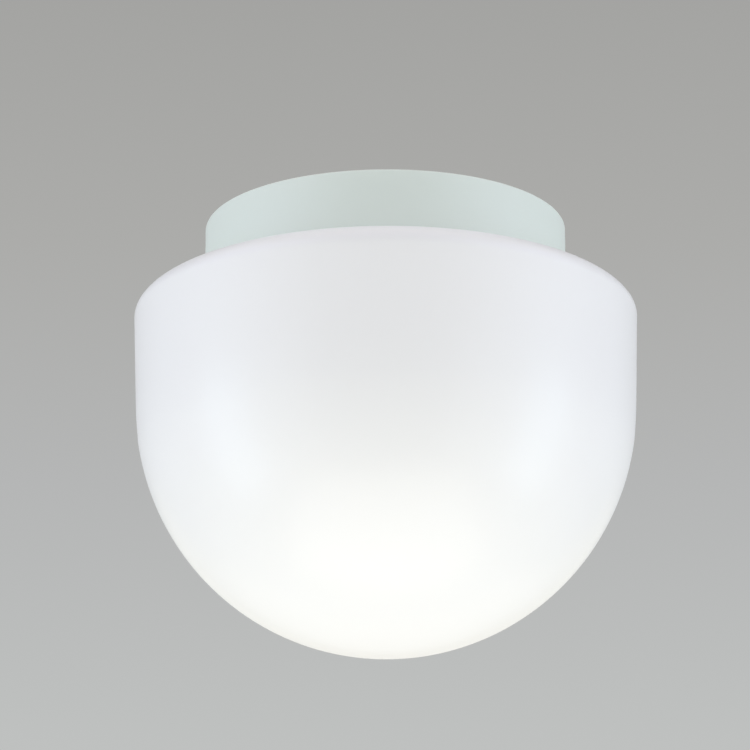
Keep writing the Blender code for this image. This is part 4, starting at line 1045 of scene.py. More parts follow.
@dataclass(frozen=True)
class BasePan:
    """The painted pan that screws to the ceiling and carries everything else."""

    radius: float = 0.065  # outer radius
    height: float = 0.022  # height of the wall, ceiling to rim
    wall: float = 0.0026  # thickness of the wall
    back: float = 0.003  # thickness of the back
    edge: float = 0.001  # radius of the outer edge at the ceiling
    # inner radius, outer radius and depth of the foam's groove
    groove: Triple = (0.0520, 0.0600, 0.0015)
    segments: int = 192  # steps in a full turn
    post_radii: Pair = (0.0042, 0.0034)  # radius of a tall post at its foot and tip
    post_height: float = 0.0242  # length of a tall post below the pan's floor
    post_circle: float = 0.0482  # radius of the circle of tall posts
    boss_radius: float = 0.0033  # radius of the short bosses
    # place and height of every short boss
    bosses: tuple[Triple, ...] = (
        (-0.0199829, -0.0054825, 0.0060), (0.0199829, -0.0054825, 0.0060),
        (-0.012995, 0.0124125, 0.0040), (-0.012995, 0.0376125, 0.0040),
        (-0.0271925, -0.0371975, 0.0032), (0.0271925, -0.0147825, 0.0032),
        (-0.007995, 0.0040125, 0.0050),
        (-0.0271925, -0.0147825, 0.0032), (0.0271925, -0.0371975, 0.0032),
    )
    bored_bosses: int = 7  # how many of the bosses are bored, from the first one
    fillet: float = 0.0010  # radius of the fillet at a tall post's foot
    sunk: float = 0.0008  # how far posts and bosses start inside the back
    bore_radius: float = 0.0018  # radius of a screw bore
    bore_depth: float = 0.0042  # depth of a screw bore
    slot_spacing: float = 0.0667  # distance between the two ceiling slots
    slot_half_width: float = 0.0038  # half the width of a slot
    slot_half_run: float = 0.0027  # half the straight run of a slot
    entry: Pair = (0.02001, 0.0250125)  # X and Y of the cable entry
    entry_radius: float = 0.0095  # radius of the cable entry's hole
    thread: Thread = field(default_factory=Thread)  # the coarse thread inside the wall

    def shell(self) -> BMesh:
        """Turn the pan's wall and back.

        Returns:
            The wall and back.
        """
        inner, rim = self.radius - self.wall, -self.height
        groove_in, groove_out, groove_floor = self.groove
        profile = Profile().to(0, 0).to(groove_in, 0, 0.0002)
        profile.to(groove_in, -groove_floor, 0.0002).to(groove_out, -groove_floor, 0.0002)
        profile.to(groove_out, 0, 0.0002)
        centre = (self.radius - self.edge, -self.edge)
        profile.arc(centre, (self.edge, self.edge), QUARTER, 0, 8)
        profile.run(self.radius, rim + self.edge / 2, 8)
        profile.arc(
            (self.radius - self.edge / 2, rim + self.edge / 2),
            (self.edge / 2, self.edge / 2), 0, -QUARTER, 6,
        )
        profile.to(inner, rim, self.edge / 2).to(inner, -self.back, 0.0012).to(0, -self.back)
        return profile.turned(self.segments)

    def posts(self) -> BMesh:
        """Turn the three tall posts, each with a fillet at its foot.

        Returns:
            The posts.
        """
        (foot, tip), fillet, end = self.post_radii, self.fillet, -self.post_height - self.sunk
        shapes = []
        for place in around(self.post_circle, 3, self.sunk - self.back):
            profile = Profile().to(0, 0).to(foot + fillet, 0).to(foot + fillet, -self.sunk)
            centre = (foot + fillet, -self.sunk - fillet)
            profile.arc(centre, (fillet, fillet), QUARTER, 2 * QUARTER, 4)
            shapes.append(profile.to(tip, end, 0.0003).to(0, end).turned(40, place))
        return merged(*shapes)

    def short_bosses(self) -> BMesh:
        """Turn the short bosses, each with a rounded lip.

        Returns:
            The bosses.
        """
        shapes = []
        for x, y, height in self.bosses:
            profile = Profile().to(0, 0).to(self.boss_radius, 0)
            profile.to(self.boss_radius, -height - self.sunk, 0.0003).to(0, -height - self.sunk)
            shapes.append(profile.turned(36, Vector((x, y, self.sunk - self.back))))
        return merged(*shapes)

    def bores(self) -> BMesh:
        """Make the cutter of every screw bore, each with a small countersink.

        Returns:
            The cutter.
        """
        mouths = around(self.post_circle, 3, -self.back - self.post_height)
        for x, y, height in self.bosses[: self.bored_bosses]:
            mouths.append(Vector((x, y, -self.back - height)))
        shapes = []
        for mouth in mouths:
            profile = Profile().to(0, -OVERSHOOT).to(self.bore_radius + 0.0013, -OVERSHOOT)
            profile.to(self.bore_radius, 0.0003).to(self.bore_radius, self.bore_depth)
            profile.to(0, self.bore_depth)
            shapes.append(profile.turned(24, mouth))
        return merged(*shapes)

    def openings(self) -> BMesh:
        """Make the cutter of the two ceiling slots and the cable entry.

        Returns:
            The cutter.
        """
        shapes = [drill(self.entry_radius, self.back, Vector((*self.entry, 0)), 64)]
        height = self.back + 2 * OVERSHOOT
        for side in SIDES:
            place = Vector((side * self.slot_spacing / 2, 0, OVERSHOOT))
            shapes.append(stadium(self.slot_half_width, self.slot_half_run, height, place))
        return merged(*shapes)

    def build(self, shop: Workshop) -> None:
        """Build and dress the pan.

        Args:
            shop: Where the piece is added.
        """
        ridge = self.thread.ridge(self.radius - self.wall, -1, 0)
        body = carved(
            self.shell(), (JOIN, ridge), (JOIN, self.posts()),
            (JOIN, self.short_bosses()), (CUT, self.bores()),
            (CUT, self.openings()),
        )
        shop.add("pan_body", body, PAN_PAINT, "base_pan")


@dataclass(frozen=True)
class OpalCover:
    """The opal cover: a threaded neck, a low shoulder, a drafted side and a deep bowl."""

    radius: float = 0.090  # outer radius at the widest place
    wall: float = 0.0025  # thickness of the wall
    neck_radius: float = 0.0599  # outer radius of the neck
    neck_bore: float = 0.0575  # inner radius of the neck
    neck_top: float = -0.0084  # Z of the neck's end
    lip: float = 0.0005  # rounding of the neck's end
    roof: float = -0.0234  # Z of the flat roof round the neck
    ledge: float = 0.0031  # width of that flat roof
    shoulder_drop: float = 0.0114  # height of the shoulder
    side_bottom: float = -0.0663  # Z where the side meets the bowl
    draft: float = 0.0011  # how far the side leans in
    bowl_depth: float = 0.0894  # height of the bowl below the side
    segments: int = 192  # steps in a full turn
    thread: Thread = field(default_factory=Thread)  # the coarse thread on the neck

    def section(self) -> Profile:
        """Draw the section, up its inner side, round the neck and down its outer side.

        Returns:
            The open profile.
        """
        inner, low = self.radius - self.wall, self.radius - self.draft
        spread = self.radius - self.neck_radius - self.ledge
        bottom = (0, self.side_bottom)
        shoulder = (self.radius - spread, self.roof - self.shoulder_drop)
        profile = Profile()
        profile.arc(bottom, (inner - self.draft, self.bowl_depth - self.wall), -QUARTER, 0, 36)
        profile.run(inner, shoulder[1], 6)
        profile.arc(shoulder, (spread - self.wall, self.shoulder_drop - self.wall), 0, QUARTER, 14)
        profile.to(self.neck_bore, self.roof - self.wall, 0.0012)
        profile.to(self.neck_bore, self.neck_top, self.lip)
        profile.to(self.neck_radius, self.neck_top, self.lip)
        profile.to(self.neck_radius, self.roof, 0.0004)
        profile.arc(shoulder, (spread, self.shoulder_drop), QUARTER, 0, 32)
        profile.run(low, self.side_bottom, 18)
        profile.arc(bottom, (low, self.bowl_depth), 0, -QUARTER, 72)
        return profile.ease((low, self.side_bottom), 0.012, 24)

    def build(self, shop: Workshop) -> None:
        """Build and dress the cover.

        Args:
            shop: Where the piece is added.
        """
        ridge = self.thread.ridge(self.neck_radius, 1, math.pi)
        bowl = carved(self.section().turned(self.segments), (JOIN, ridge))
        shop.add("opal_bowl", bowl, OPAL, "opal_cover", body=Body.COVER)


@dataclass(frozen=True)
class Seals:
    """The soft rings that keep dust and insects out."""

    # inner radius, outer radius and thickness of the ceiling foam
    foam: Triple = (0.0523, 0.0597, 0.0012)
    # inner radius, outer radius and thickness of the cover's packing
    packing: Triple = (0.0602, 0.0646, 0.0008)
    packing_top: float = -0.0223  # Z of the packing's upper face
    segments: int = 160  # steps in a full turn

    def build(self, shop: Workshop) -> None:
        """Build and dress both rings.

        Args:
            shop: Where the pieces are added.
        """
        inner, outer, thickness = self.foam
        foam = flat_ring(inner, outer, 0, thickness, 0.0003).turned(self.segments)
        piece = shop.add("ceiling_foam", foam, FOAM, "ceiling_packing")
        inner, outer, thickness = self.packing
        packing = flat_ring(inner, outer, self.packing_top, thickness, 0.00025)
        shop.add(
            "cover_seal", packing.turned(self.segments), RUBBER, "cover_packing",
            body=Body.PACKING,
        )


@dataclass(frozen=True)
class CeilingRubber:
    """Rubber bushes in the ceiling slots and the grommet of the cable entry."""

    slot_spacing: float = 0.0667  # distance between the two slots
    half_run: float = 0.0027  # half the straight run of a slot
    neck_radius: float = 0.0035  # half the width of a bush's neck
    bore_radius: float = 0.0024  # half the width of its bore
    lip_radius: float = 0.0050  # half the width of its lip
    lip_thickness: float = 0.0010
    top: float = -0.0003  # Z of the upper end of every neck
    floor: float = -0.0033  # Z where the lips touch the pan's inside
    entry: Pair = (0.02001, 0.0250125)  # X and Y of the grommet
    grommet_radii: Triple = (0.0042, 0.0092, 0.0112)  # radii of the bore, the neck and the lip
    sleeve_radii: Pair = (0.0069, 0.0058)  # radius of the sleeve at the lip and at its end
    grommet_lip: float = 0.0016  # thickness of the grommet's lip
    sleeve_height: float = 0.009
    ribs: int = 4  # number of grooves round the sleeve

    def bush(self, side: int) -> BMesh:
        """Make the bush of one slot.

        Args:
            side: -1 for the left slot, 1 for the right one.

        Returns:
            The bush's bmesh.
        """
        middle = Vector((side * self.slot_spacing / 2, 0, 0))
        height = self.top - self.floor + self.lip_thickness
        neck = stadium(self.neck_radius, self.half_run, height, middle + UP * self.top)
        lip = stadium(self.lip_radius, self.half_run, self.lip_thickness, middle + UP * self.floor)
        rims = [edge for edge in lip.edges if edge.verts[0].co.z == edge.verts[1].co.z]
        bevel(lip, rims, 0.0003, 3)
        height += 2 * OVERSHOOT
        bore = stadium(self.bore_radius, self.half_run, height, middle + UP * OVERSHOOT)
        return carved(neck, (JOIN, lip), (CUT, bore))

    def grommet(self) -> BMesh:
        """Turn the grommet, its sleeve grooved so that it bends.

        Returns:
            The grommet's bmesh.
        """
        bore, neck, lip = self.grommet_radii
        lip_end = self.floor - self.grommet_lip
        end = lip_end - self.sleeve_height
        profile = Profile().to(bore, self.top, 0.0004).to(neck, self.top, 0.0004)
        profile.to(neck, self.floor).to(lip, self.floor, 0.0004).to(lip, lip_end, 0.0007)
        profile.to(self.sleeve_radii[0], lip_end, 0.0005)
        for rib in range(self.ribs):
            share = (rib + 1) / (self.ribs + 1)
            radius = self.sleeve_radii[0] + (self.sleeve_radii[1] - self.sleeve_radii[0]) * share
            level = lip_end - self.sleeve_height * share
            profile.to(radius, level + 0.0006, 0.0001).to(radius - 0.0005, level + 0.0003, 0.0001)
            profile.to(radius - 0.0005, level - 0.0003, 0.0001).to(radius, level - 0.0006, 0.0001)
        profile.to(self.sleeve_radii[1], end, 0.0005).to(bore, end, 0.0003).close()
        return profile.turned(72, Vector((*self.entry, 0)))

    def build(self, shop: Workshop) -> None:
        """Build and dress the bushes and the grommet.

        Args:
            shop: Where the pieces are added.
        """
        for number, side in enumerate(SIDES, 1):
            shop.add(f"ceiling_bush_{number}", self.bush(side), RUBBER, f"slot_bush_{number}")
        shop.add("entry_grommet", self.grommet(), RUBBER, "cable_grommet")


@dataclass(frozen=True)
class Terminal:
    """Push-in terminal block with its clamps, release button and earth point."""

    centre: Pair = (-0.012995, 0.0250125)  # X and Y of the block's middle
    top: float = -0.0033  # Z of its upper face
    size: Triple = (0.026, 0.018, 0.014)  # length, width and height
    edge: float = 0.0008  # radius of its edges
    ear_radius: float = 0.0036  # radius of a screw ear
    ear_top: float = -0.0073  # Z of an ear's upper face
    ear_thickness: float = 0.0025
    hole_radius: float = 0.0018  # radius of a screw hole
    wire_radius: float = 0.0016  # radius of a wire tunnel
    funnel: Pair = (0.0008, 0.0016)  # how much wider a tunnel's mouth is, and how deep the funnel
    wire_spacing: float = 0.008  # distance between the two tunnels
    contact: Triple = (0.0114, 0.0034, 0.006)  # size of a clamp
    strip: float = 0.0008  # thickness of a clamp's strip
    contact_depth: float = 0.0035  # the block's upper face to the clamp
    button: Pair = (0.005, 0.012)  # width and length of the release button
    button_lip: float = 0.0007  # how far its lip stands out
    button_lip_span: Pair = (-0.0155, -0.0143)  # Z of the lip's lower and upper face
    button_end: float = -0.0189  # Z of the button's lower end
    earth: Pair = (-0.007995, 0.0040125)  # X and Y of the earth point
    # inner radius, outer radius and thickness of the star washer
    washer: Triple = (0.0018, 0.0042, 0.0008)
    washer_top: float = -0.0083  # Z of the washer's upper face
    teeth: int = 10  # number of its teeth

    @property
    def contact_level(self) -> float:
        """Return the Z of the clamps' middle."""
        return self.top - self.contact_depth - self.contact[2] / 2

    def at(self, x: float, y: float, z: float) -> Vector:
        """Return a place given from the block's middle, with its own Z."""
        return Vector((self.centre[0] + x, self.centre[1] + y, z))

    def housing(self) -> BMesh:
        """Carve the housing: ears, funnelled wire tunnels, clamp pockets and button shaft.

        Returns:
            The housing's bmesh.
        """
        length, width, height = self.size
        body = block(self.size, self.at(0, 0, self.top - height / 2), self.edge, 4)
        steps = []
        for side in SIDES:
            y = side * (width / 2 + self.ear_radius)
            ear = rod(self.ear_radius, self.ear_thickness, self.at(0, y, self.ear_top), 40)
            reach = self.ear_radius + 0.0012
            tongue = block(
                (2 * self.ear_radius, reach, self.ear_thickness),
                self.at(0, y - side * reach / 2, self.ear_top - self.ear_thickness / 2),
            )
            hole = drill(self.hole_radius, self.ear_thickness, self.at(0, y, self.ear_top))
            steps += [(JOIN, ear), (JOIN, tongue), (CUT, hole)]
        for side in SIDES:
            y = side * self.wire_spacing / 2
            steps.append((CUT, self.tunnel(y)))
            pocket = [size + 2 * GAP for size in self.contact]
            steps.append((CUT, block(pocket, self.at(0, y, self.contact_level))))
        floor = self.contact_level - self.contact[2] / 2
        bottom = self.top - height
        shaft = (self.button[0] + 2 * GAP, self.button[1] + 2 * GAP, floor - bottom + OVERSHOOT)
        steps.append((CUT, block(shaft, self.at(0, 0, floor - shaft[2] / 2))))
        low = self.button_lip_span[0] - GAP
        chamber = (
            self.button[0] + 2 * (self.button_lip + GAP),
            self.button[1] + 2 * (self.button_lip + GAP), floor - low,
        )
        steps.append((CUT, block(chamber, self.at(0, 0, (floor + low) / 2))))
        for side in SIDES:
            x = side * (length / 2 - 0.0045)
            recess = block((0.0030, width - 0.006, 0.0008), self.at(x, 0, bottom), 0.0003, 2)
            steps.append((CUT, recess))
        return carved(body, *steps)

    def tunnel(self, y: float) -> BMesh:
        """Make the cutter of one wire tunnel, funnelled at both ends.

        Args:
            y: Y of the tunnel from the block's middle.

        Returns:
            The cutter's bmesh.
        """
        half, narrow = self.size[0] / 2, self.wire_radius
        end, mouth, depth = half + OVERSHOOT, narrow + self.funnel[0], self.funnel[1]
        profile = Profile().to(0, -end).to(mouth, -end).to(mouth, -half).to(narrow, depth - half)
        profile.to(narrow, half - depth).to(mouth, half).to(mouth, end).to(0, end)
        return moved(profile.turned(28), self.at(0, y, self.contact_level), QUARTER, "Y")

    def clamp(self, y: float) -> BMesh:
        """Fold one brass clamp, a strip with rounded corners round the wire's path.

        Args:
            y: Y of the clamp from the block's middle.

        Returns:
            The clamp's bmesh.
        """
        place = self.at(0, y, self.contact_level)
        length, width, height = self.contact
        outer = block(self.contact, place, 0.0005, 3)
        size = (length + 2 * OVERSHOOT, width - 2 * self.strip, height - 2 * self.strip)
        inner = block(size, place, 0.0002, 2)
        return carved(outer, (CUT, inner))

    def release(self) -> BMesh:
        """Mould the release button: its lip, its stem and the ribs on its end.

        Returns:
            The button's bmesh.
        """
        low, high = self.button_lip_span
        middle = (low + high) / 2
        width, length = self.button
        lip = block(
            (width + 2 * self.button_lip, length + 2 * self.button_lip, high - low),
            self.at(0, 0, middle), 0.0002, 2,
        )
        stem = block(
            (width, length, middle - self.button_end),
            self.at(0, 0, (middle + self.button_end) / 2), 0.0003, 3,
        )
        steps = [(JOIN, stem)]
        for number in range(-3, 4):
            groove = block((0.0036, 0.0005, 0.0006), self.at(0, number * 0.0013, self.button_end))
            steps.append((CUT, groove))
        return carved(lip, *steps)

    def star_washer(self) -> BMesh:
        """Turn the earth washer and notch its rim into teeth.

        Returns:
            The washer's bmesh.
        """
        inner, outer, thickness = self.washer
        place = Vector((*self.earth, self.washer_top))
        ring = flat_ring(inner, outer, 0, thickness, 0.0001)
        spots = around(outer + 0.0001, self.teeth, 0)
        notches = (drill(0.00055, thickness, place + spot, 16) for spot in spots)
        return carved(ring.turned(60, place), (CUT, merged(*notches)))

    def build(self, shop: Workshop) -> None:
        """Build and dress the block, clamps, button and washer.

        Args:
            shop: Where the pieces are added.
        """
        shop.add("terminal_housing", self.housing(), WHITE_PLASTIC, "terminal_block")
        for number, side in enumerate(SIDES, 1):
            shop.add(
                f"terminal_clamp_{number}", self.clamp(side * self.wire_spacing / 2), BRASS,
                f"terminal_contact_{number}",
            )
        shop.add(
            "release_key", self.release(), ORANGE_PLASTIC, "terminal_release",
            body=Body.RELEASE,
        )
        shop.add("earth_star_washer", self.star_washer(), BRASS, "earth_washer")


@dataclass(frozen=True)
class Driver:
    """The driver: a board of parts under an insulating cover."""

    centre: Pair = (0.0, -0.02599)  # X and Y of the board's middle
    board: Triple = (0.061985, 0.030015, 0.0016)  # length, width and thickness
    board_top: float = -0.0065  # Z of the board's upper face
    part_level: float = -0.0084  # Z of the parts' seats under the board
    hole_inset: float = 0.0038  # screw hole to the board's edges
    hole_radius: float = 0.0018  # radius of a screw hole
    core: Triple = (0.017, 0.010, 0.0125)  # size of the transformer's core
    core_yoke: float = 0.0028  # thickness of its yokes
    core_leg: float = 0.003  # radius of its middle leg
    winding: float = 0.0066  # radius of the winding
    capacitor: Pair = (0.004, 0.0115)  # radius and height
    choke: Triple = (0.004, 0.0031, 0.009)  # flange radius, winding radius and height
    choke_flange: float = 0.0012  # thickness of a flange
    choke_turns: int = 15  # number of turns of wire
    chip: Triple = (0.006, 0.0045, 0.0018)  # size of a chip with its legs
    fuse: Pair = (0.0014, 0.0066)  # radius and length
    fuse_cap: float = 0.0013  # length of an end cap
    header: Triple = (0.008, 0.006, 0.006)  # size of a lead header
    cover_top: float = -0.0033  # Z of the cover's open end
    cover: Triple = (0.064985, 0.033015, 0.0212)  # outer size of the cover
    cover_wall: float = 0.0012  # thickness of its wall
    cover_edge: float = 0.0016  # radius of its edges
    ears: Pair = (0.0199829, -0.0054825)  # X reach and Y of the cover's ears
    ear: Triple = (0.0038, 0.0020, -0.0093)  # radius, thickness and upper Z
    ear_reach: float = 0.0048  # how far an ear reaches to the cover, from its hole
    window: Pair = (0.007, 0.004)  # width and height of a lead window

    def at(self, share_x: float, share_y: float, level: float) -> Vector:
        """Return a place from shares of the half board from its middle."""
        return Vector((
            self.centre[0] + share_x * self.board[0] / 2,
            self.centre[1] + share_y * self.board[1] / 2, level,
        ))

    @property
    def transformer(self) -> Vector:
        """Return the middle of the transformer."""
        return self.at(0.14, -0.28, self.part_level - self.core[2] / 2)

    def circuit_board(self) -> BMesh:
        """Cut the board with its rounded corners and two screw holes.

        Returns:
            The board's bmesh.
        """
        bm = block(self.board, (*self.centre, self.board_top - self.board[2] / 2))
        upright = [
            edge for edge in bm.edges
            if abs(edge.verts[0].co.z - edge.verts[1].co.z) > self.board[2] / 2
        ]
        bevel(bm, upright, 0.0012, 5)
        holes = []
        for side in SIDES:
            inset = Vector((side * self.hole_inset, side * self.hole_inset, 0))
            place = self.at(side, side, self.board_top) - inset
            holes.append(drill(self.hole_radius, self.board[2], place))
        return carved(bm, (CUT, merged(*holes)))

    def solder(self) -> BMesh:
        """Turn the solder cones of the parts' legs on the board's upper face.

        Returns:
            The cones' bmesh.
        """
        spots = (
            (0.0, 0.0), (0.28, 0.0), (0.0, -0.56), (0.28, -0.56), (-0.37, -0.60), (-0.47, -0.60),
            (-0.61, -0.10), (-0.71, -0.10), (0.67, 0.05), (0.77, 0.05), (-0.30, 0.66),
            (0.06, 0.66), (-0.86, 0.62), (-0.86, 0.82), (0.26, 0.86), (0.38, 0.86),
        )
        joints = []
        for share_x, share_y in spots:
            cone = Profile().to(0, 0).to(0.0011, 0)
            cone.arc((0.0011, 0.0007), (0.0008, 0.0007), -QUARTER, -2 * QUARTER, 5)
            cone.to(0.00025, 0.0012, 0.0001).to(0, 0.0012)
            joints.append(cone.turned(20, self.at(share_x, share_y, self.board_top)))
        return merged(*joints)

    def core_halves(self) -> BMesh:
        """Carve the transformer's core, two E halves that meet at its middle.

        Returns:
            Both halves' bmesh.
        """
        middle = self.transformer
        half = (self.core[0], self.core[1], self.core[2] / 2)
        halves = [block(half, middle + UP * side * half[2] / 2, 0.0003, 2) for side in SIDES]
        opening = self.core[2] / 2 - self.core_yoke
        window = Profile().to(self.core_leg, opening).to(self.winding + 0.0004, opening)
        window.to(self.winding + 0.0004, -opening).to(self.core_leg, -opening).close()
        upper, lower = halves
        return carved(upper, (JOIN, lower), (CUT, window.turned(64, middle)))

    def bobbin(self) -> tuple[BMesh, BMesh]:
        """Turn the bobbin, a tube with a flange at each end, and the taped winding on it.

        Returns:
            The bobbin and the winding.
        """
        half = self.core[2] / 2 - self.core_yoke - GAP
        room, outer = half - 0.0006, self.winding - 0.0003
        bore, tube = self.core_leg + 0.0004, self.core_leg + 0.0009
        reel = Profile().to(bore, half).to(self.winding, half, 0.0002)
        reel.to(self.winding, room, 0.0001).to(tube, room).to(tube, -room)
        reel.to(self.winding, -room, 0.0001).to(self.winding, -half, 0.0002).to(bore, -half)
        tape = Profile().to(tube, room).to(outer, room, 0.0003).to(outer + 0.0001, 0)
        tape.to(outer, -room, 0.0003).to(tube, -room)
        return tuple(part.close().turned(64, self.transformer) for part in (reel, tape))

    def can(self, place: Vector) -> tuple[BMesh, BMesh]:
        """Turn one capacitor: its shrunk sleeve, and the can's scored end.

        Args:
            place: Where the capacitor meets the board.

        Returns:
            The sleeve and the end.
        """
        radius, height = self.capacitor
        foot, rim, seat, face = radius - 0.0014, radius - 0.0008, 0.0004 - height, 0.0001 - height
        sleeve = Profile().to(0, -0.0006).to(foot, -0.0006, 0.0002).to(foot, 0, 0.0003)
        sleeve.to(radius, 0, 0.0006).to(radius, -0.0011, 0.0003)
        sleeve.to(radius - 0.0004, -0.0015, 0.0002).to(radius, -0.0019, 0.0003)
        sleeve.to(radius, -height, 0.0005).to(rim, -height, 0.0002).to(rim, seat).to(0, seat)
        end = Profile().to(0, seat).to(rim, seat).to(rim, face, 0.0001).to(0, face)
        arms = ((0.0044, 0.0003, 0.0002), (0.0003, 0.0044, 0.0002))
        cuts = [(CUT, block(size, place + UP * face)) for size in arms]
        return sleeve.turned(48, place), carved(end.turned(48, place), *cuts)

    def drum(self) -> tuple[BMesh, BMesh]:
        """Turn the drum choke.

        Returns:
            The ferrite drum and the wire round its waist.
        """
        radius, wire, height = self.choke
        place, waist = self.at(0.72, 0.05, self.part_level), wire - 0.0006
        upper, lower, dimple = -self.choke_flange, self.choke_flange - height, 0.0006 - height
        drum = Profile().to(0, 0).to(radius, 0, 0.0003).to(radius, upper, 0.0002)
        drum.to(waist, upper).to(waist, lower).to(radius, lower, 0.0002)
        drum.to(radius, -height, 0.0003).to(0.0008, -height, 0.0001)
        drum.to(0.0008, dimple).to(0, dimple)
        coil = Profile().to(waist, upper)
        step = (upper - lower) / self.choke_turns
        for turn in range(self.choke_turns):
            centre = (wire - step / 2, upper - (turn + 0.5) * step)
            coil.arc(centre, (step / 2, step / 2), QUARTER, -QUARTER, 5)
        coil.to(waist, lower).close()
        return drum.turned(40, place), coil.turned(40, place)

    def chip_parts(self, place: Vector) -> tuple[BMesh, BMesh]:
        """Mould a chip with a dimple at its first leg, and bend its eight legs.

        Args:
            place: Middle of the chip.

        Returns:
            The body and the legs.
        """
        length, width, height = self.chip
        size = (length, width - 0.0014, height - 0.0003)
        body = block(size, place - UP * 0.00015, 0.00015, 2)
        corner = place + Vector((-length / 2 + 0.0008, size[1] / 2 - 0.0008, -height / 2 + 0.0001))
        body = carved(body, (CUT, rod(0.00035, 0.0004, corner, 20)))
        inner, thin = width / 2 - 0.0007, 0.00015
        bends = (  # Y, Z and size of a leg's shoulder, drop and foot
            (inner + 0.0001, 0, (0.0005, 0.0004, thin)),
            (inner + 0.00033, height / 4, (0.0005, thin, height / 2)),
            (inner + 0.0005, height / 2 - 0.0001, (0.0005, 0.0004, thin)),
        )
        legs = [
            block(size, place + Vector(((number - 1.5) * length / 4, side * y, z)))
            for side in SIDES for number in range(4) for y, z, size in bends
        ]
        return body, merged(*legs)

    def fuse_parts(self) -> tuple[BMesh, BMesh]:
        """Turn the fuse about X.

        Returns:
            The barrel and both end caps.
        """
        radius, length = self.fuse
        half, bore = length / 2, radius - 0.0001
        barrel = Profile().to(0, half - 0.0002).to(bore, half - 0.0002)
        barrel.to(bore, 0.0002 - half).to(0, 0.0002 - half)
        caps = []
        for side in SIDES:
            inner, end, face = (side * (half - depth) for depth in (self.fuse_cap, 0, 0.0002))
            ring = Profile().to(bore, inner).to(radius, inner, 0.00003).to(radius, end, 0.0003)
            caps.append(ring.to(0, end).to(0, face).to(bore, face).close().turned(32))
        place = self.at(-0.12, 0.66, self.part_level - radius)
        parts = (barrel.turned(32), merged(*caps))
        return tuple(moved(part, place, QUARTER, "Y") for part in parts)

    def header_places(self) -> tuple[tuple[Vector, float], tuple[Vector, float]]:
        """Place the supply and the light header, each with its turn about Z.

        Returns:
            Both headers' places and turns.
        """
        level = self.part_level - self.header[2] / 2
        length, width, _ = self.header
        supply = self.at(-1, 1, level) + Vector((width / 2, -length / 2 - 0.0002, 0))
        light = self.at(0, 1, level) + Vector((0.010, -width / 2, 0))
        return (supply, QUARTER), (light, 0.0)

    def lead_header(self, place: Vector, turn: float) -> BMesh:
        """Mould a lead header, open towards its leads.

        Args:
            place: Middle of the header.
            turn: Its turn about Z.

        Returns:
            The header's bmesh.
        """
        length, width, height = self.header
        steps = []
        for side in SIDES:
            entry = Profile().to(0, OVERSHOOT).to(0.0013, OVERSHOOT).to(0.0013, 0)
            bore = entry.to(0.00095, -0.0008).to(0.00095, -0.003).to(0, -0.003).turned(24)
            steps.append((CUT, moved(bore, (side * 0.0011, width / 2, 0), -QUARTER, "X")))
            slot = block((0.0016, 0.0024, 0.0016), (side * 0.0020, 0.0004, -height / 2), 0.0002, 2)
            steps.append((CUT, slot))
        notch = block((0.0024, 0.0016, 0.0008), (0, width / 2, height / 2), 0.0002, 2)
        steps.append((CUT, notch))
        bm = carved(block(self.header, (0, 0, 0), 0.0004, 3), *steps)
        return moved(bm, place, turn)

    def insulating_cover(self) -> BMesh:
        """Mould the cover: a thin open box with a pressed panel, ears and lead windows.

        Returns:
            The cover's bmesh.
        """
        length, width, height = self.cover
        middle = Vector((*self.centre, self.cover_top - height / 2))
        bm = block(self.cover, middle)
        lid = [face for face in bm.faces if face.normal.z > 0.5]
        bmesh.ops.delete(bm, geom=lid, context="FACES_ONLY")
        kept = [edge for edge in bm.edges if len(edge.link_faces) == 2]
        bevel(bm, kept, self.cover_edge, 6)
        bottom = [face for face in bm.faces if face.normal.z < -0.999]
        for thickness, depth in ((0.0030, 0.0), (0.0006, 0.0004)):
            bmesh.ops.inset_region(bm, faces=bottom, thickness=thickness, depth=-depth)
        bmesh.ops.solidify(bm, geom=bm.faces[:], thickness=self.cover_wall)
        steps = []
        radius, thickness, top = self.ear
        tongue = (2 * radius, self.ear_reach, thickness)
        for side in SIDES:
            place = Vector((side * self.ears[0], self.ears[1], top))
            steps.append((JOIN, rod(radius, thickness, place, 40)))
            inward = Vector((0, self.ear_reach / 2, thickness / 2))
            steps.append((JOIN, block(tongue, place - inward)))
            steps.append((CUT, drill(self.hole_radius, thickness, place)))
        (supply, _), (light, _) = self.header_places()
        wide, high = self.window
        through = 2 * (self.cover_wall + OVERSHOOT)
        left = Vector((self.centre[0] - length / 2, supply.y, supply.z))
        back = Vector((light.x, self.centre[1] + width / 2, light.z))
        steps.append((CUT, block((through, wide, high), left, 0.0003, 2)))
        steps.append((CUT, block((wide, through, high), back, 0.0003, 2)))
        return carved(bm, *steps)

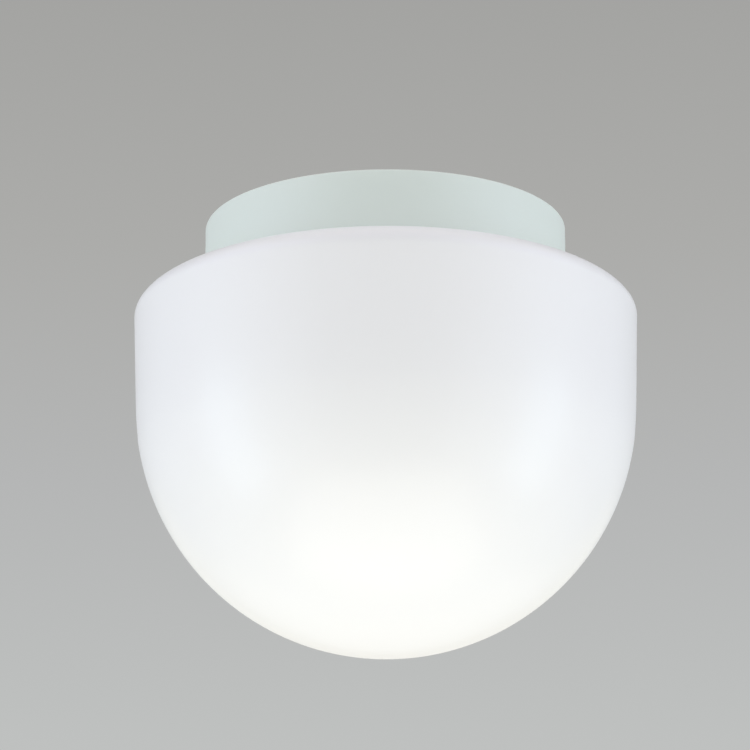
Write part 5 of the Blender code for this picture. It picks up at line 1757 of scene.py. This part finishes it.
    def build(self, shop: Workshop) -> None:
        """Build and dress the board, its parts and the cover.

        Args:
            shop: Where the pieces are added.
        """
        shop.add("driver_card", self.circuit_board(), GREEN_BOARD, "driver_board")
        shop.add("driver_solder", self.solder(), SOLDER)
        shop.add("transformer_halves", self.core_halves(), FERRITE, "transformer_core")
        reel, tape = self.bobbin()
        shop.add("transformer_bobbin", reel, WHITE_PLASTIC)
        shop.add("transformer_tape", tape, TAPE, "transformer_winding")
        for number, shares in ((1, (-0.42, -0.60)), (2, (-0.66, -0.10))):
            sleeve, end = self.can(self.at(*shares, self.part_level))
            shop.add(f"capacitor_sleeve_{number}", sleeve, SLEEVE, f"driver_capacitor_{number}")
            shop.add(f"capacitor_end_{number}", end, ALUMINIUM)
        drum, coil = self.drum()
        shop.add("choke_drum", drum, FERRITE, "driver_choke")
        shop.add("choke_coil", coil, COPPER)
        for number, shares in ((1, (-0.34, 0.30)), (2, (0.72, -0.62))):
            place = self.at(*shares, self.part_level - self.chip[2] / 2)
            body, legs = self.chip_parts(place)
            shop.add(f"chip_body_{number}", body, RESIN, f"driver_chip_{number}")
            shop.add(f"chip_legs_{number}", legs, SOLDER)
        barrel, caps = self.fuse_parts()
        shop.add("fuse_barrel", barrel, CERAMIC, "driver_fuse")
        shop.add("fuse_caps", caps, SOLDER)
        for number, (place, turn) in enumerate(self.header_places(), 1):
            shop.add(
                f"lead_header_{number}", self.lead_header(place, turn), WHITE_PLASTIC,
                f"driver_header_{number}",
            )
        shop.add("driver_shield", self.insulating_cover(), WHITE_PLASTIC, "driver_cover")


@dataclass(frozen=True)
class LightUnit:
    """Carrier plate, light board with its diodes, and the clear lens over them."""

    plate: Triple = (0.054, -0.0275, 0.0015)  # radius, upper Z and thickness
    rim_height: float = 0.0024  # how far the plate's rim stands up
    hole_radius: float = 0.0018  # radius of a screw hole
    outer_circle: float = 0.0482  # radius of the circle of plate and lens screws
    board_circle: float = 0.0295  # radius of the circle of board screws
    lead_hole: Triple = (0.010, 0.012, 0.0032)  # X, Y and radius of the lead hole
    board: Triple = (0.0415, -0.0293, 0.0012)  # radius, upper Z and thickness of the light board
    diode: Pair = (0.005, 0.0009)  # side and height
    diode_ring: float = 0.0355  # radius of the circle of diodes
    diode_count: int = 9
    gap_level: float = -0.0308  # Z of the diodes' and the connector's upper face
    connector: Triple = (0.007, 0.006, 0.0035)  # size of the connector
    connector_at: Pair = (0.010, 0.0025)  # X and Y
    lens: Triple = (0.0418, 0.0434, 0.0450)  # inner radius, outer radius and flange radius
    lens_wall: float = 0.0016  # thickness of the lens
    lens_crown: float = 0.0105  # height of the lens below its flange
    lens_ear: float = 0.0042  # radius of a lens ear

    @staticmethod
    def drills(places: Sequence[Vector], radius: float, depth: float) -> BMesh:
        """Make the cutter of round holes through a sheet, from places on its upper face."""
        return merged(*(drill(radius, depth, place, 32) for place in places))

    def midway(self, radius: float, height: float) -> list[Vector]:
        """Return the three places midway between the plate screws."""
        return around(radius, 3, height, QUARTER + math.pi / 3)

    def carrier(self) -> BMesh:
        """Press the plate: a flat floor and an upturned rim.

        Returns:
            The plate's bmesh.
        """
        radius, top, thickness = self.plate
        bottom = top - thickness
        profile = Profile().to(0, top).to(radius - thickness, top, 0.0006)
        profile.to(radius - thickness, top + self.rim_height, 0.0003)
        profile.to(radius, top + self.rim_height, 0.0003).to(radius, bottom, 0.0008)
        profile.to(0, bottom)
        x, y, lead = self.lead_hole
        holes = around(self.outer_circle, 3, top) + self.midway(self.outer_circle, top)
        holes += self.midway(self.board_circle, top)
        return carved(
            profile.turned(160),
            (CUT, self.drills(holes, self.hole_radius, thickness)),
            (CUT, self.drills([Vector((x, y, top))], lead, thickness)),
        )

    def light_board(self) -> BMesh:
        """Cut the round light board with its holes.

        Returns:
            The board's bmesh.
        """
        radius, top, thickness = self.board
        profile = Profile().to(0, top).to(radius, top, 0.0001)
        profile.to(radius, top - thickness, 0.0001).to(0, top - thickness)
        x, y, lead = self.lead_hole
        return carved(
            profile.turned(128),
            (CUT, self.drills(self.midway(self.board_circle, top), self.hole_radius, thickness)),
            (CUT, self.drills([Vector((x, y, top))], lead, thickness)),
        )

    def diode_parts(self) -> tuple[BMesh, BMesh, BMesh]:
        """Mould one diode at the origin, its light side down.

        Returns:
            The case with its cup, the phosphor in it, and the two feet.
        """
        side, height = self.diode
        case = block((side, side * 0.86, height), (0, 0, -height / 2), 0.00012, 2)
        cup = Profile().to(0, 0.0004 - height).to(0.0014, 0.0004 - height)
        cup.to(0.0018, -height).to(0.0018, -height - 0.0005).to(0, -height - 0.0005)
        corner = Vector((side / 2 - 0.0005, side * 0.43 - 0.0005, 0.0001 - height))
        mark = rod(0.00035, 0.0004, corner, 16)
        body = carved(case, (CUT, cup.turned(40)), (CUT, mark))
        fill = Profile().to(0, 0.00042 - height).to(0.00138, 0.00042 - height)
        fill.to(0.0017, 0.00012 - height)
        fill.arc((0, 0.00012 - height), (0.0017, 0.00010), 0, -QUARTER, 6)
        feet = [
            block((0.0010, side, 0.0003), (x, 0, -0.00016), 0.00005, 1)
            for x in (-side * 0.28, side * 0.28)
        ]
        return body, fill.turned(40), merged(*feet)

    def plug(self) -> BMesh:
        """Mould the light board's connector, open towards its leads.

        Returns:
            The connector's bmesh.
        """
        length, width, height = self.connector
        place = Vector((*self.connector_at, self.gap_level - height / 2))
        steps = []
        for side in SIDES:
            mouth = place + Vector((side * 0.0011, width / 2 + OVERSHOOT, 0))
            bore = moved(rod(0.0009, 0.004, Vector(), 20), mouth, QUARTER, "X")
            steps.append((CUT, bore))
            latch = block(
                (0.0012, 0.0022, 0.0010),
                place + Vector((side * 0.0021, -0.0004, -height / 2)), 0.0002, 2,
            )
            steps.append((CUT, latch))
        return carved(block(self.connector, place, 0.0003, 3), *steps)

    def clear_lens(self) -> BMesh:
        """Turn the lens with its ears, its inner side fluted in fine rings.

        Returns:
            The lens's bmesh.
        """
        inner, outer, flange = self.lens
        top = self.board[1]
        low = top - self.lens_wall
        depth = self.lens_crown - self.lens_wall
        profile = Profile().arc((0, low), (inner, depth), -QUARTER, 0, 72)
        flutes = profile.chain[5:61:2]
        bmesh.ops.translate(profile.bm, vec=(0, 0, 0.00022), verts=flutes)
        profile.to(inner, top, 0.0002).to(flange, top, 0.0003).to(flange, low, 0.0003)
        profile.arc((0, low), (outer, self.lens_crown), 0, -QUARTER, 48)
        steps = []
        for place in self.midway(self.outer_circle, top):
            ear = rod(self.lens_ear, self.lens_wall, place, 40)
            hole = drill(self.hole_radius, self.lens_wall, place)
            steps += [(JOIN, ear), (CUT, hole)]
        return carved(profile.turned(144), *steps)

    def build(self, shop: Workshop) -> None:
        """Build and dress the plate, the board, its parts and the lens.

        Args:
            shop: Where the pieces are added.
        """
        shop.add("carrier_plate", self.carrier(), ALUMINIUM, "led_plate")
        shop.add("light_card", self.light_board(), WHITE_BOARD, "led_board")
        case, fill, feet = self.diode_parts()
        places = around(self.diode_ring, self.diode_count, self.gap_level)
        for number, place in enumerate(places, 1):
            turn = math.tau * (number - 1) / self.diode_count
            for label, pattern, finish in (
                ("case", case, WHITE_PLASTIC), ("phosphor", fill, PHOSPHOR), ("feet", feet, SOLDER)
            ):
                nodes = (f"led_{number}",) if label == "case" else ()
                piece = moved(pattern.copy(), place, turn)
                shop.add(f"diode_{label}_{number}", piece, finish, *nodes)
        shop.add("light_plug", self.plug(), WHITE_PLASTIC, "led_connector")
        shop.add("lens_dish", self.clear_lens(), CLEAR, "led_lens")


@dataclass(frozen=True)
class Lead:
    """One insulated lead along its route."""

    name: str
    node: str  # the CAD node that it stands for
    finish: Finish  # its sheath
    radius: float  # outer radius
    corners: tuple[Triple, ...]  # corners of its route


@dataclass(frozen=True)
class Wiring:
    """The four leads inside the light."""

    bend: float = 0.0034  # where a bend starts, from its corner
    steps: int = 10  # steps in a bend
    leads: tuple[Lead, ...] = (
        Lead("supply_wire_1", "supply_lead_1", BLACK_SHEATH, 0.0008, (
            (-0.018995, 0.0210125, -0.0098), (-0.0359925, 0.0210125, -0.0098),
            (-0.0359925, -0.0140825, -0.0114), (-0.0312925, -0.0140825, -0.0114),
        )),
        Lead("supply_wire_2", "supply_lead_2", WHITE_SHEATH, 0.0008, (
            (-0.018995, 0.0290125, -0.0098), (-0.0381925, 0.0290125, -0.0098),
            (-0.0381925, -0.0162825, -0.0114), (-0.0312925, -0.0162825, -0.0114),
        )),
        Lead("light_wire_1", "led_lead_1", BLACK_SHEATH, 0.0007, (
            (0.0089, -0.0106825, -0.0114), (0.0089, 0.012, -0.0114),
            (0.0089, 0.012, -0.03255), (0.0089, 0.0058, -0.03255),
        )),
        Lead("light_wire_2", "led_lead_2", WHITE_SHEATH, 0.0007, (
            (0.0111, -0.0106825, -0.0114), (0.0111, 0.012, -0.0114),
            (0.0111, 0.012, -0.03255), (0.0111, 0.0058, -0.03255),
        )),
    )

    def route(self, corners: Sequence[Vector]) -> list[Vector]:
        """Round a route's corners.

        Args:
            corners: The corners.

        Returns:
            Points along the rounded route.
        """
        points = [corners[0]]
        for before, corner, after in zip(corners, corners[1:], corners[2:]):
            start = corner + (before - corner).normalized() * self.bend
            end = corner + (after - corner).normalized() * self.bend
            for step in range(self.steps + 1):
                share = step / self.steps
                points.append(start.lerp(corner, share).lerp(corner.lerp(end, share), share))
        return [*points, corners[-1]]

    def sweep(self, lead: Lead) -> BMesh:
        """Sweep a lead's round section along its route.

        Args:
            lead: The lead.

        Returns:
            Its bmesh.
        """
        curve = bpy.data.curves.new(lead.name, "CURVE")
        curve.dimensions = "3D"
        curve.bevel_depth = lead.radius
        curve.bevel_resolution = 4
        curve.use_fill_caps = True
        points = self.route([Vector(corner) for corner in lead.corners])
        spline = curve.splines.new("POLY")
        spline.points.add(len(points) - 1)
        for point, place in zip(spline.points, points):
            point.co = (*place, 1)
        carrier = bpy.data.objects.new(lead.name, curve)
        mesh = carrier.to_mesh()
        bm = bmesh.new()
        bm.from_mesh(mesh)
        carrier.to_mesh_clear()
        bpy.data.objects.remove(carrier)
        bpy.data.curves.remove(curve)
        bmesh.ops.remove_doubles(bm, verts=bm.verts, dist=MERGE_DISTANCE)
        bmesh.ops.recalc_face_normals(bm, faces=bm.faces)
        return bm

    def build(self, shop: Workshop) -> None:
        """Build the leads, dress them and add them to the workshop."""
        for lead in self.leads:
            shop.add(lead.name, self.sweep(lead), lead.finish, lead.node)


@dataclass(frozen=True)
class Fasteners:
    """The pan-head screws, all of one size, that hold the light together."""

    core: float = 0.00118  # radius of the core under the thread
    length: float = 0.005  # length of the shank
    head: Pair = (0.0028, 0.002)  # radius and height
    dome: float = 0.0011  # rounding of the head
    recess: Triple = (0.0032, 0.00062, 0.0011)  # length, width and depth of the cross recess
    turn_step: float = 0.7  # how much further each screw is turned than the last
    thread: Thread = field(default_factory=lambda: Thread(
        pitch=0.0006, turns=6.0, height=0.00030, root_width=0.00048, crest_width=0.00009,
        start=0.0008, segments=24, sink=0.00008, run_out=0.6,
    ))
    # each group's name, Z of its seats, and their X and Y
    seats: tuple[tuple[str, float, tuple[Pair, ...]], ...] = (
        ("terminal_screw", -0.0101, ((-0.012995, 0.0124125), (-0.012995, 0.0376125))),
        ("earth_screw", -0.0094, ((-0.007995, 0.0040125),)),
        ("driver_board_screw", -0.0084, ((-0.0271925, -0.0371975), (0.0271925, -0.0147825))),
        ("driver_cover_screw", -0.0116, ((-0.0199829, -0.0054825), (0.0199829, -0.0054825))),
        ("plate_screw", -0.0293, ((0.0, 0.0482), (-0.0417424, -0.0241), (0.0417424, -0.0241))),
        ("led_board_screw", -0.0308,
         ((-0.0255477, 0.01475), (0.0, -0.0295), (0.0255477, 0.01475))),
        ("lens_screw", -0.0312, ((-0.0417424, 0.0241), (0.0, -0.0482), (0.0417424, 0.0241))),
    )

    def screw(self) -> BMesh:
        """Turn one screw, head down, with its seat at the origin.

        Returns:
            The screw's bmesh.
        """
        radius, height = self.head
        profile = Profile().to(0, self.length).to(self.core * 0.6, self.length, 0.0002)
        profile.to(self.core, self.length - 0.0007, 0.0002).to(self.core, 0, 0.0001)
        profile.to(radius, 0, 0.00015)
        profile.arc(
            (radius - self.dome, self.dome - height), (self.dome, self.dome), 0, -QUARTER, 7
        )
        profile.to(0, -height)
        length, width, depth = self.recess
        arms = []
        for size in ((length, width, 2 * depth), (width, length, 2 * depth)):
            arm = block(size, (0, 0, -height), 0.0001, 2)
            inner = [vert for vert in arm.verts if vert.co.z > -height]
            bmesh.ops.scale(arm, vec=(0.45, 0.45, 1), verts=inner)
            arms.append((CUT, arm))
        ridge = self.thread.ridge(self.core, 1, 0)
        return carved(profile.turned(36), (JOIN, ridge), *arms)

    def build(self, shop: Workshop) -> None:
        """Build and dress every screw, each turned a little further than the last.

        Args:
            shop: Where the pieces are added.
        """
        pattern = self.screw()
        count = 0
        for name, level, places in self.seats:
            for number, place in enumerate(places, 1):
                node = f"{name}_{number}" if len(places) > 1 else name
                count += 1
                screw = moved(pattern.copy(), (*place, level), count * self.turn_step)
                shop.add(f"{node}_cut", screw, ZINC, node)


# --------------------------------------------------------------------------- studio


@dataclass(frozen=True)
class Softbox:
    """One soft lamp that looks at the light from a direction."""

    name: str
    azimuth: float  # degrees to the right of the camera's side, seen from above
    elevation: float  # degrees above the light
    watts: float
    colour: Triple  # linear colour
    size: Pair  # width and height
    distance: float = 1.1  # distance from the light
    aim: Triple = (0, 0, -0.08)  # where it points

    def build(self) -> bpy.types.Object:
        """Build the lamp, turned towards its aim.

        Returns:
            The lamp's object.
        """
        light = bpy.data.lights.new(self.name, "AREA")
        light.shape = "RECTANGLE"
        light.size, light.size_y = self.size
        light.energy = self.watts
        light.color = self.colour
        azimuth, elevation = math.radians(self.azimuth), math.radians(self.elevation)
        outward = Vector((
            math.sin(azimuth) * math.cos(elevation), -math.cos(azimuth) * math.cos(elevation),
            math.sin(elevation),
        ))
        turn = (-outward).to_track_quat("-Z", "Y").to_matrix().to_4x4()
        lamp = bpy.data.objects.new(self.name, light)
        lamp.matrix_world = Matrix.Translation(Vector(self.aim) + outward * self.distance) @ turn
        lamp.visible_camera = False
        bpy.context.scene.collection.objects.link(lamp)
        return lamp


@dataclass(frozen=True)
class Studio:
    """Camera, lamps, background and floor of the photograph's studio."""

    eye: Triple = (0, -0.999685, -0.349057)  # where the camera stands
    yaw: float = math.radians(-0.2227)  # how far the camera turns to the right
    pitch: float = math.radians(16.4276)  # how far it looks up
    roll: float = math.radians(-0.1915)  # how far it leans
    lens: float = 139.957  # focal length in millimetres on a sensor 36 mm wide
    fill: float = 0.50  # strength of the even light from all round
    # sine of a view's elevation, and the display colour seen there
    backdrop: tuple[tuple[float, Triple], ...] = (
        (0.0, (203, 205, 204)), (0.1666, (190, 192, 191)), (0.2465, (181, 182, 182)),
        (0.3252, (172, 172, 170)), (0.4013, (164, 164, 162)), (1.0, (150, 150, 148)),
    )
    floor_level: float = -2.4  # Z of the floor
    floor_radius: float = 24.0  # radius of the round floor
    lamps: tuple[Softbox, ...] = (
        Softbox("left_strip", -75, -12, 1.95, (0.67, 0.84, 1.0), (0.45, 0.9)),
        Softbox("right_strip", 75, -12, 1.95, (0.67, 0.84, 1.0), (0.45, 0.9)),
        Softbox("left_wide", -60, -10, 1.83, (0.99, 1.0, 0.99), (1.2, 1.0)),
        Softbox("right_wide", 60, -10, 1.83, (0.99, 1.0, 0.99), (1.2, 1.0)),
        Softbox("left_high", -70, 40, 2.08, (0.74, 0.68, 1.0), (1.0, 0.8)),
        Softbox("right_high", 70, 40, 2.08, (0.74, 0.68, 1.0), (1.0, 0.8)),
        Softbox("top", 0, 85, 3.42, (1.0, 0.95, 0.76), (1.8, 1.8)),
        Softbox("under", 0, -72, 7.7, (1.0, 0.95, 0.86), (1.6, 1.2)),
        Softbox("back_low", 180, -50, 1.25, (0.86, 0.90, 1.0), (1.6, 1.2)),
        Softbox("back_under", 180, -25, 1.95, (1.0, 0.90, 0.62), (1.8, 1.2)),
    )

    def camera(self) -> None:
        """Build the camera at the photograph's viewing angle."""
        turn = (
            Matrix.Rotation(-self.yaw, 4, "Z")
            @ Matrix.Rotation(QUARTER + self.pitch, 4, "X")
            @ Matrix.Rotation(self.roll, 4, "Z")
        )
        data = bpy.data.cameras.new("photo_camera")
        data.lens = self.lens
        data.sensor_width = 36
        data.clip_start, data.clip_end = 0.02, 40
        camera = bpy.data.objects.new("photo_camera", data)
        camera.matrix_world = Matrix.Translation(self.eye) @ turn
        bpy.context.scene.collection.objects.link(camera)
        bpy.context.scene.camera = camera

    def world(self) -> None:
        """Build the even fill light and the grey backdrop that the camera and gloss see."""
        world = bpy.data.worlds.new("studio")
        world.use_nodes = True
        bpy.context.scene.world = world
        graph = Graph(world.node_tree)
        graph.tree.nodes.clear()
        direction = graph.add("ShaderNodeTexCoord").outputs["Generated"]
        rise = graph.split(direction)["Z"]
        ramp = graph.add("ShaderNodeValToRGB", {"Fac": rise})
        stops = ramp.color_ramp.elements
        while len(stops) < len(self.backdrop):
            stops.new(1.0)
        for stop, (place, colour) in zip(stops, self.backdrop):
            stop.position = place
            stop.color = (*linear(colour), 1)
        backdrop = graph.add("ShaderNodeBackground", {"Color": ramp.outputs["Color"]})
        fill = graph.add("ShaderNodeBackground", {"Color": (1, 1, 1), "Strength": self.fill})
        path = graph.add("ShaderNodeLightPath")
        seen = graph.math("MAXIMUM", path.outputs["Is Camera Ray"], path.outputs["Is Glossy Ray"])
        seen = graph.math("MAXIMUM", seen, path.outputs["Is Transmission Ray"])
        both = graph.add(
            "ShaderNodeMixShader", {0: seen, 1: fill.outputs[0], 2: backdrop.outputs[0]}
        )
        graph.add("ShaderNodeOutputWorld", {"Surface": both.outputs[0]})

    def floor(self, effects: Effects) -> None:
        """Build the plain pale floor.

        Args:
            effects: The shared effects.
        """
        bm = bmesh.new()
        bmesh.ops.create_circle(bm, cap_ends=True, segments=96, radius=self.floor_radius)
        bmesh.ops.translate(bm, vec=(0, 0, self.floor_level), verts=bm.verts)
        mesh = bpy.data.meshes.new("studio_floor")
        bm.to_mesh(mesh)
        bm.free()
        mesh.materials.append(PAPER.build(effects))
        floor = bpy.data.objects.new("studio_floor", mesh)
        bpy.context.scene.collection.objects.link(floor)

    def build(self, effects: Effects) -> None:
        """Build the whole studio.

        Args:
            effects: The shared effects.
        """
        bpy.context.scene.view_settings.view_transform = "Standard"
        self.camera()
        self.world()
        self.floor(effects)
        for lamp in self.lamps:
            lamp.build()


def main() -> None:
    """Build the studio and every piece of the light, and note how many nodes the packed model has.
    """
    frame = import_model()
    LOG.info("the packed model has %d nodes", len(frame["nodes"]))
    shop = Workshop()
    Studio().build(shop.effects)
    assemblies = (
        BasePan(), Seals(), CeilingRubber(), Terminal(), Driver(), LightUnit(), Wiring(),
        Fasteners(), OpalCover(),
    )
    for assembly in assemblies:
        assembly.build(shop)


if __name__ == "__main__":
    logging.basicConfig(level=logging.INFO, format="%(message)s")
    main()
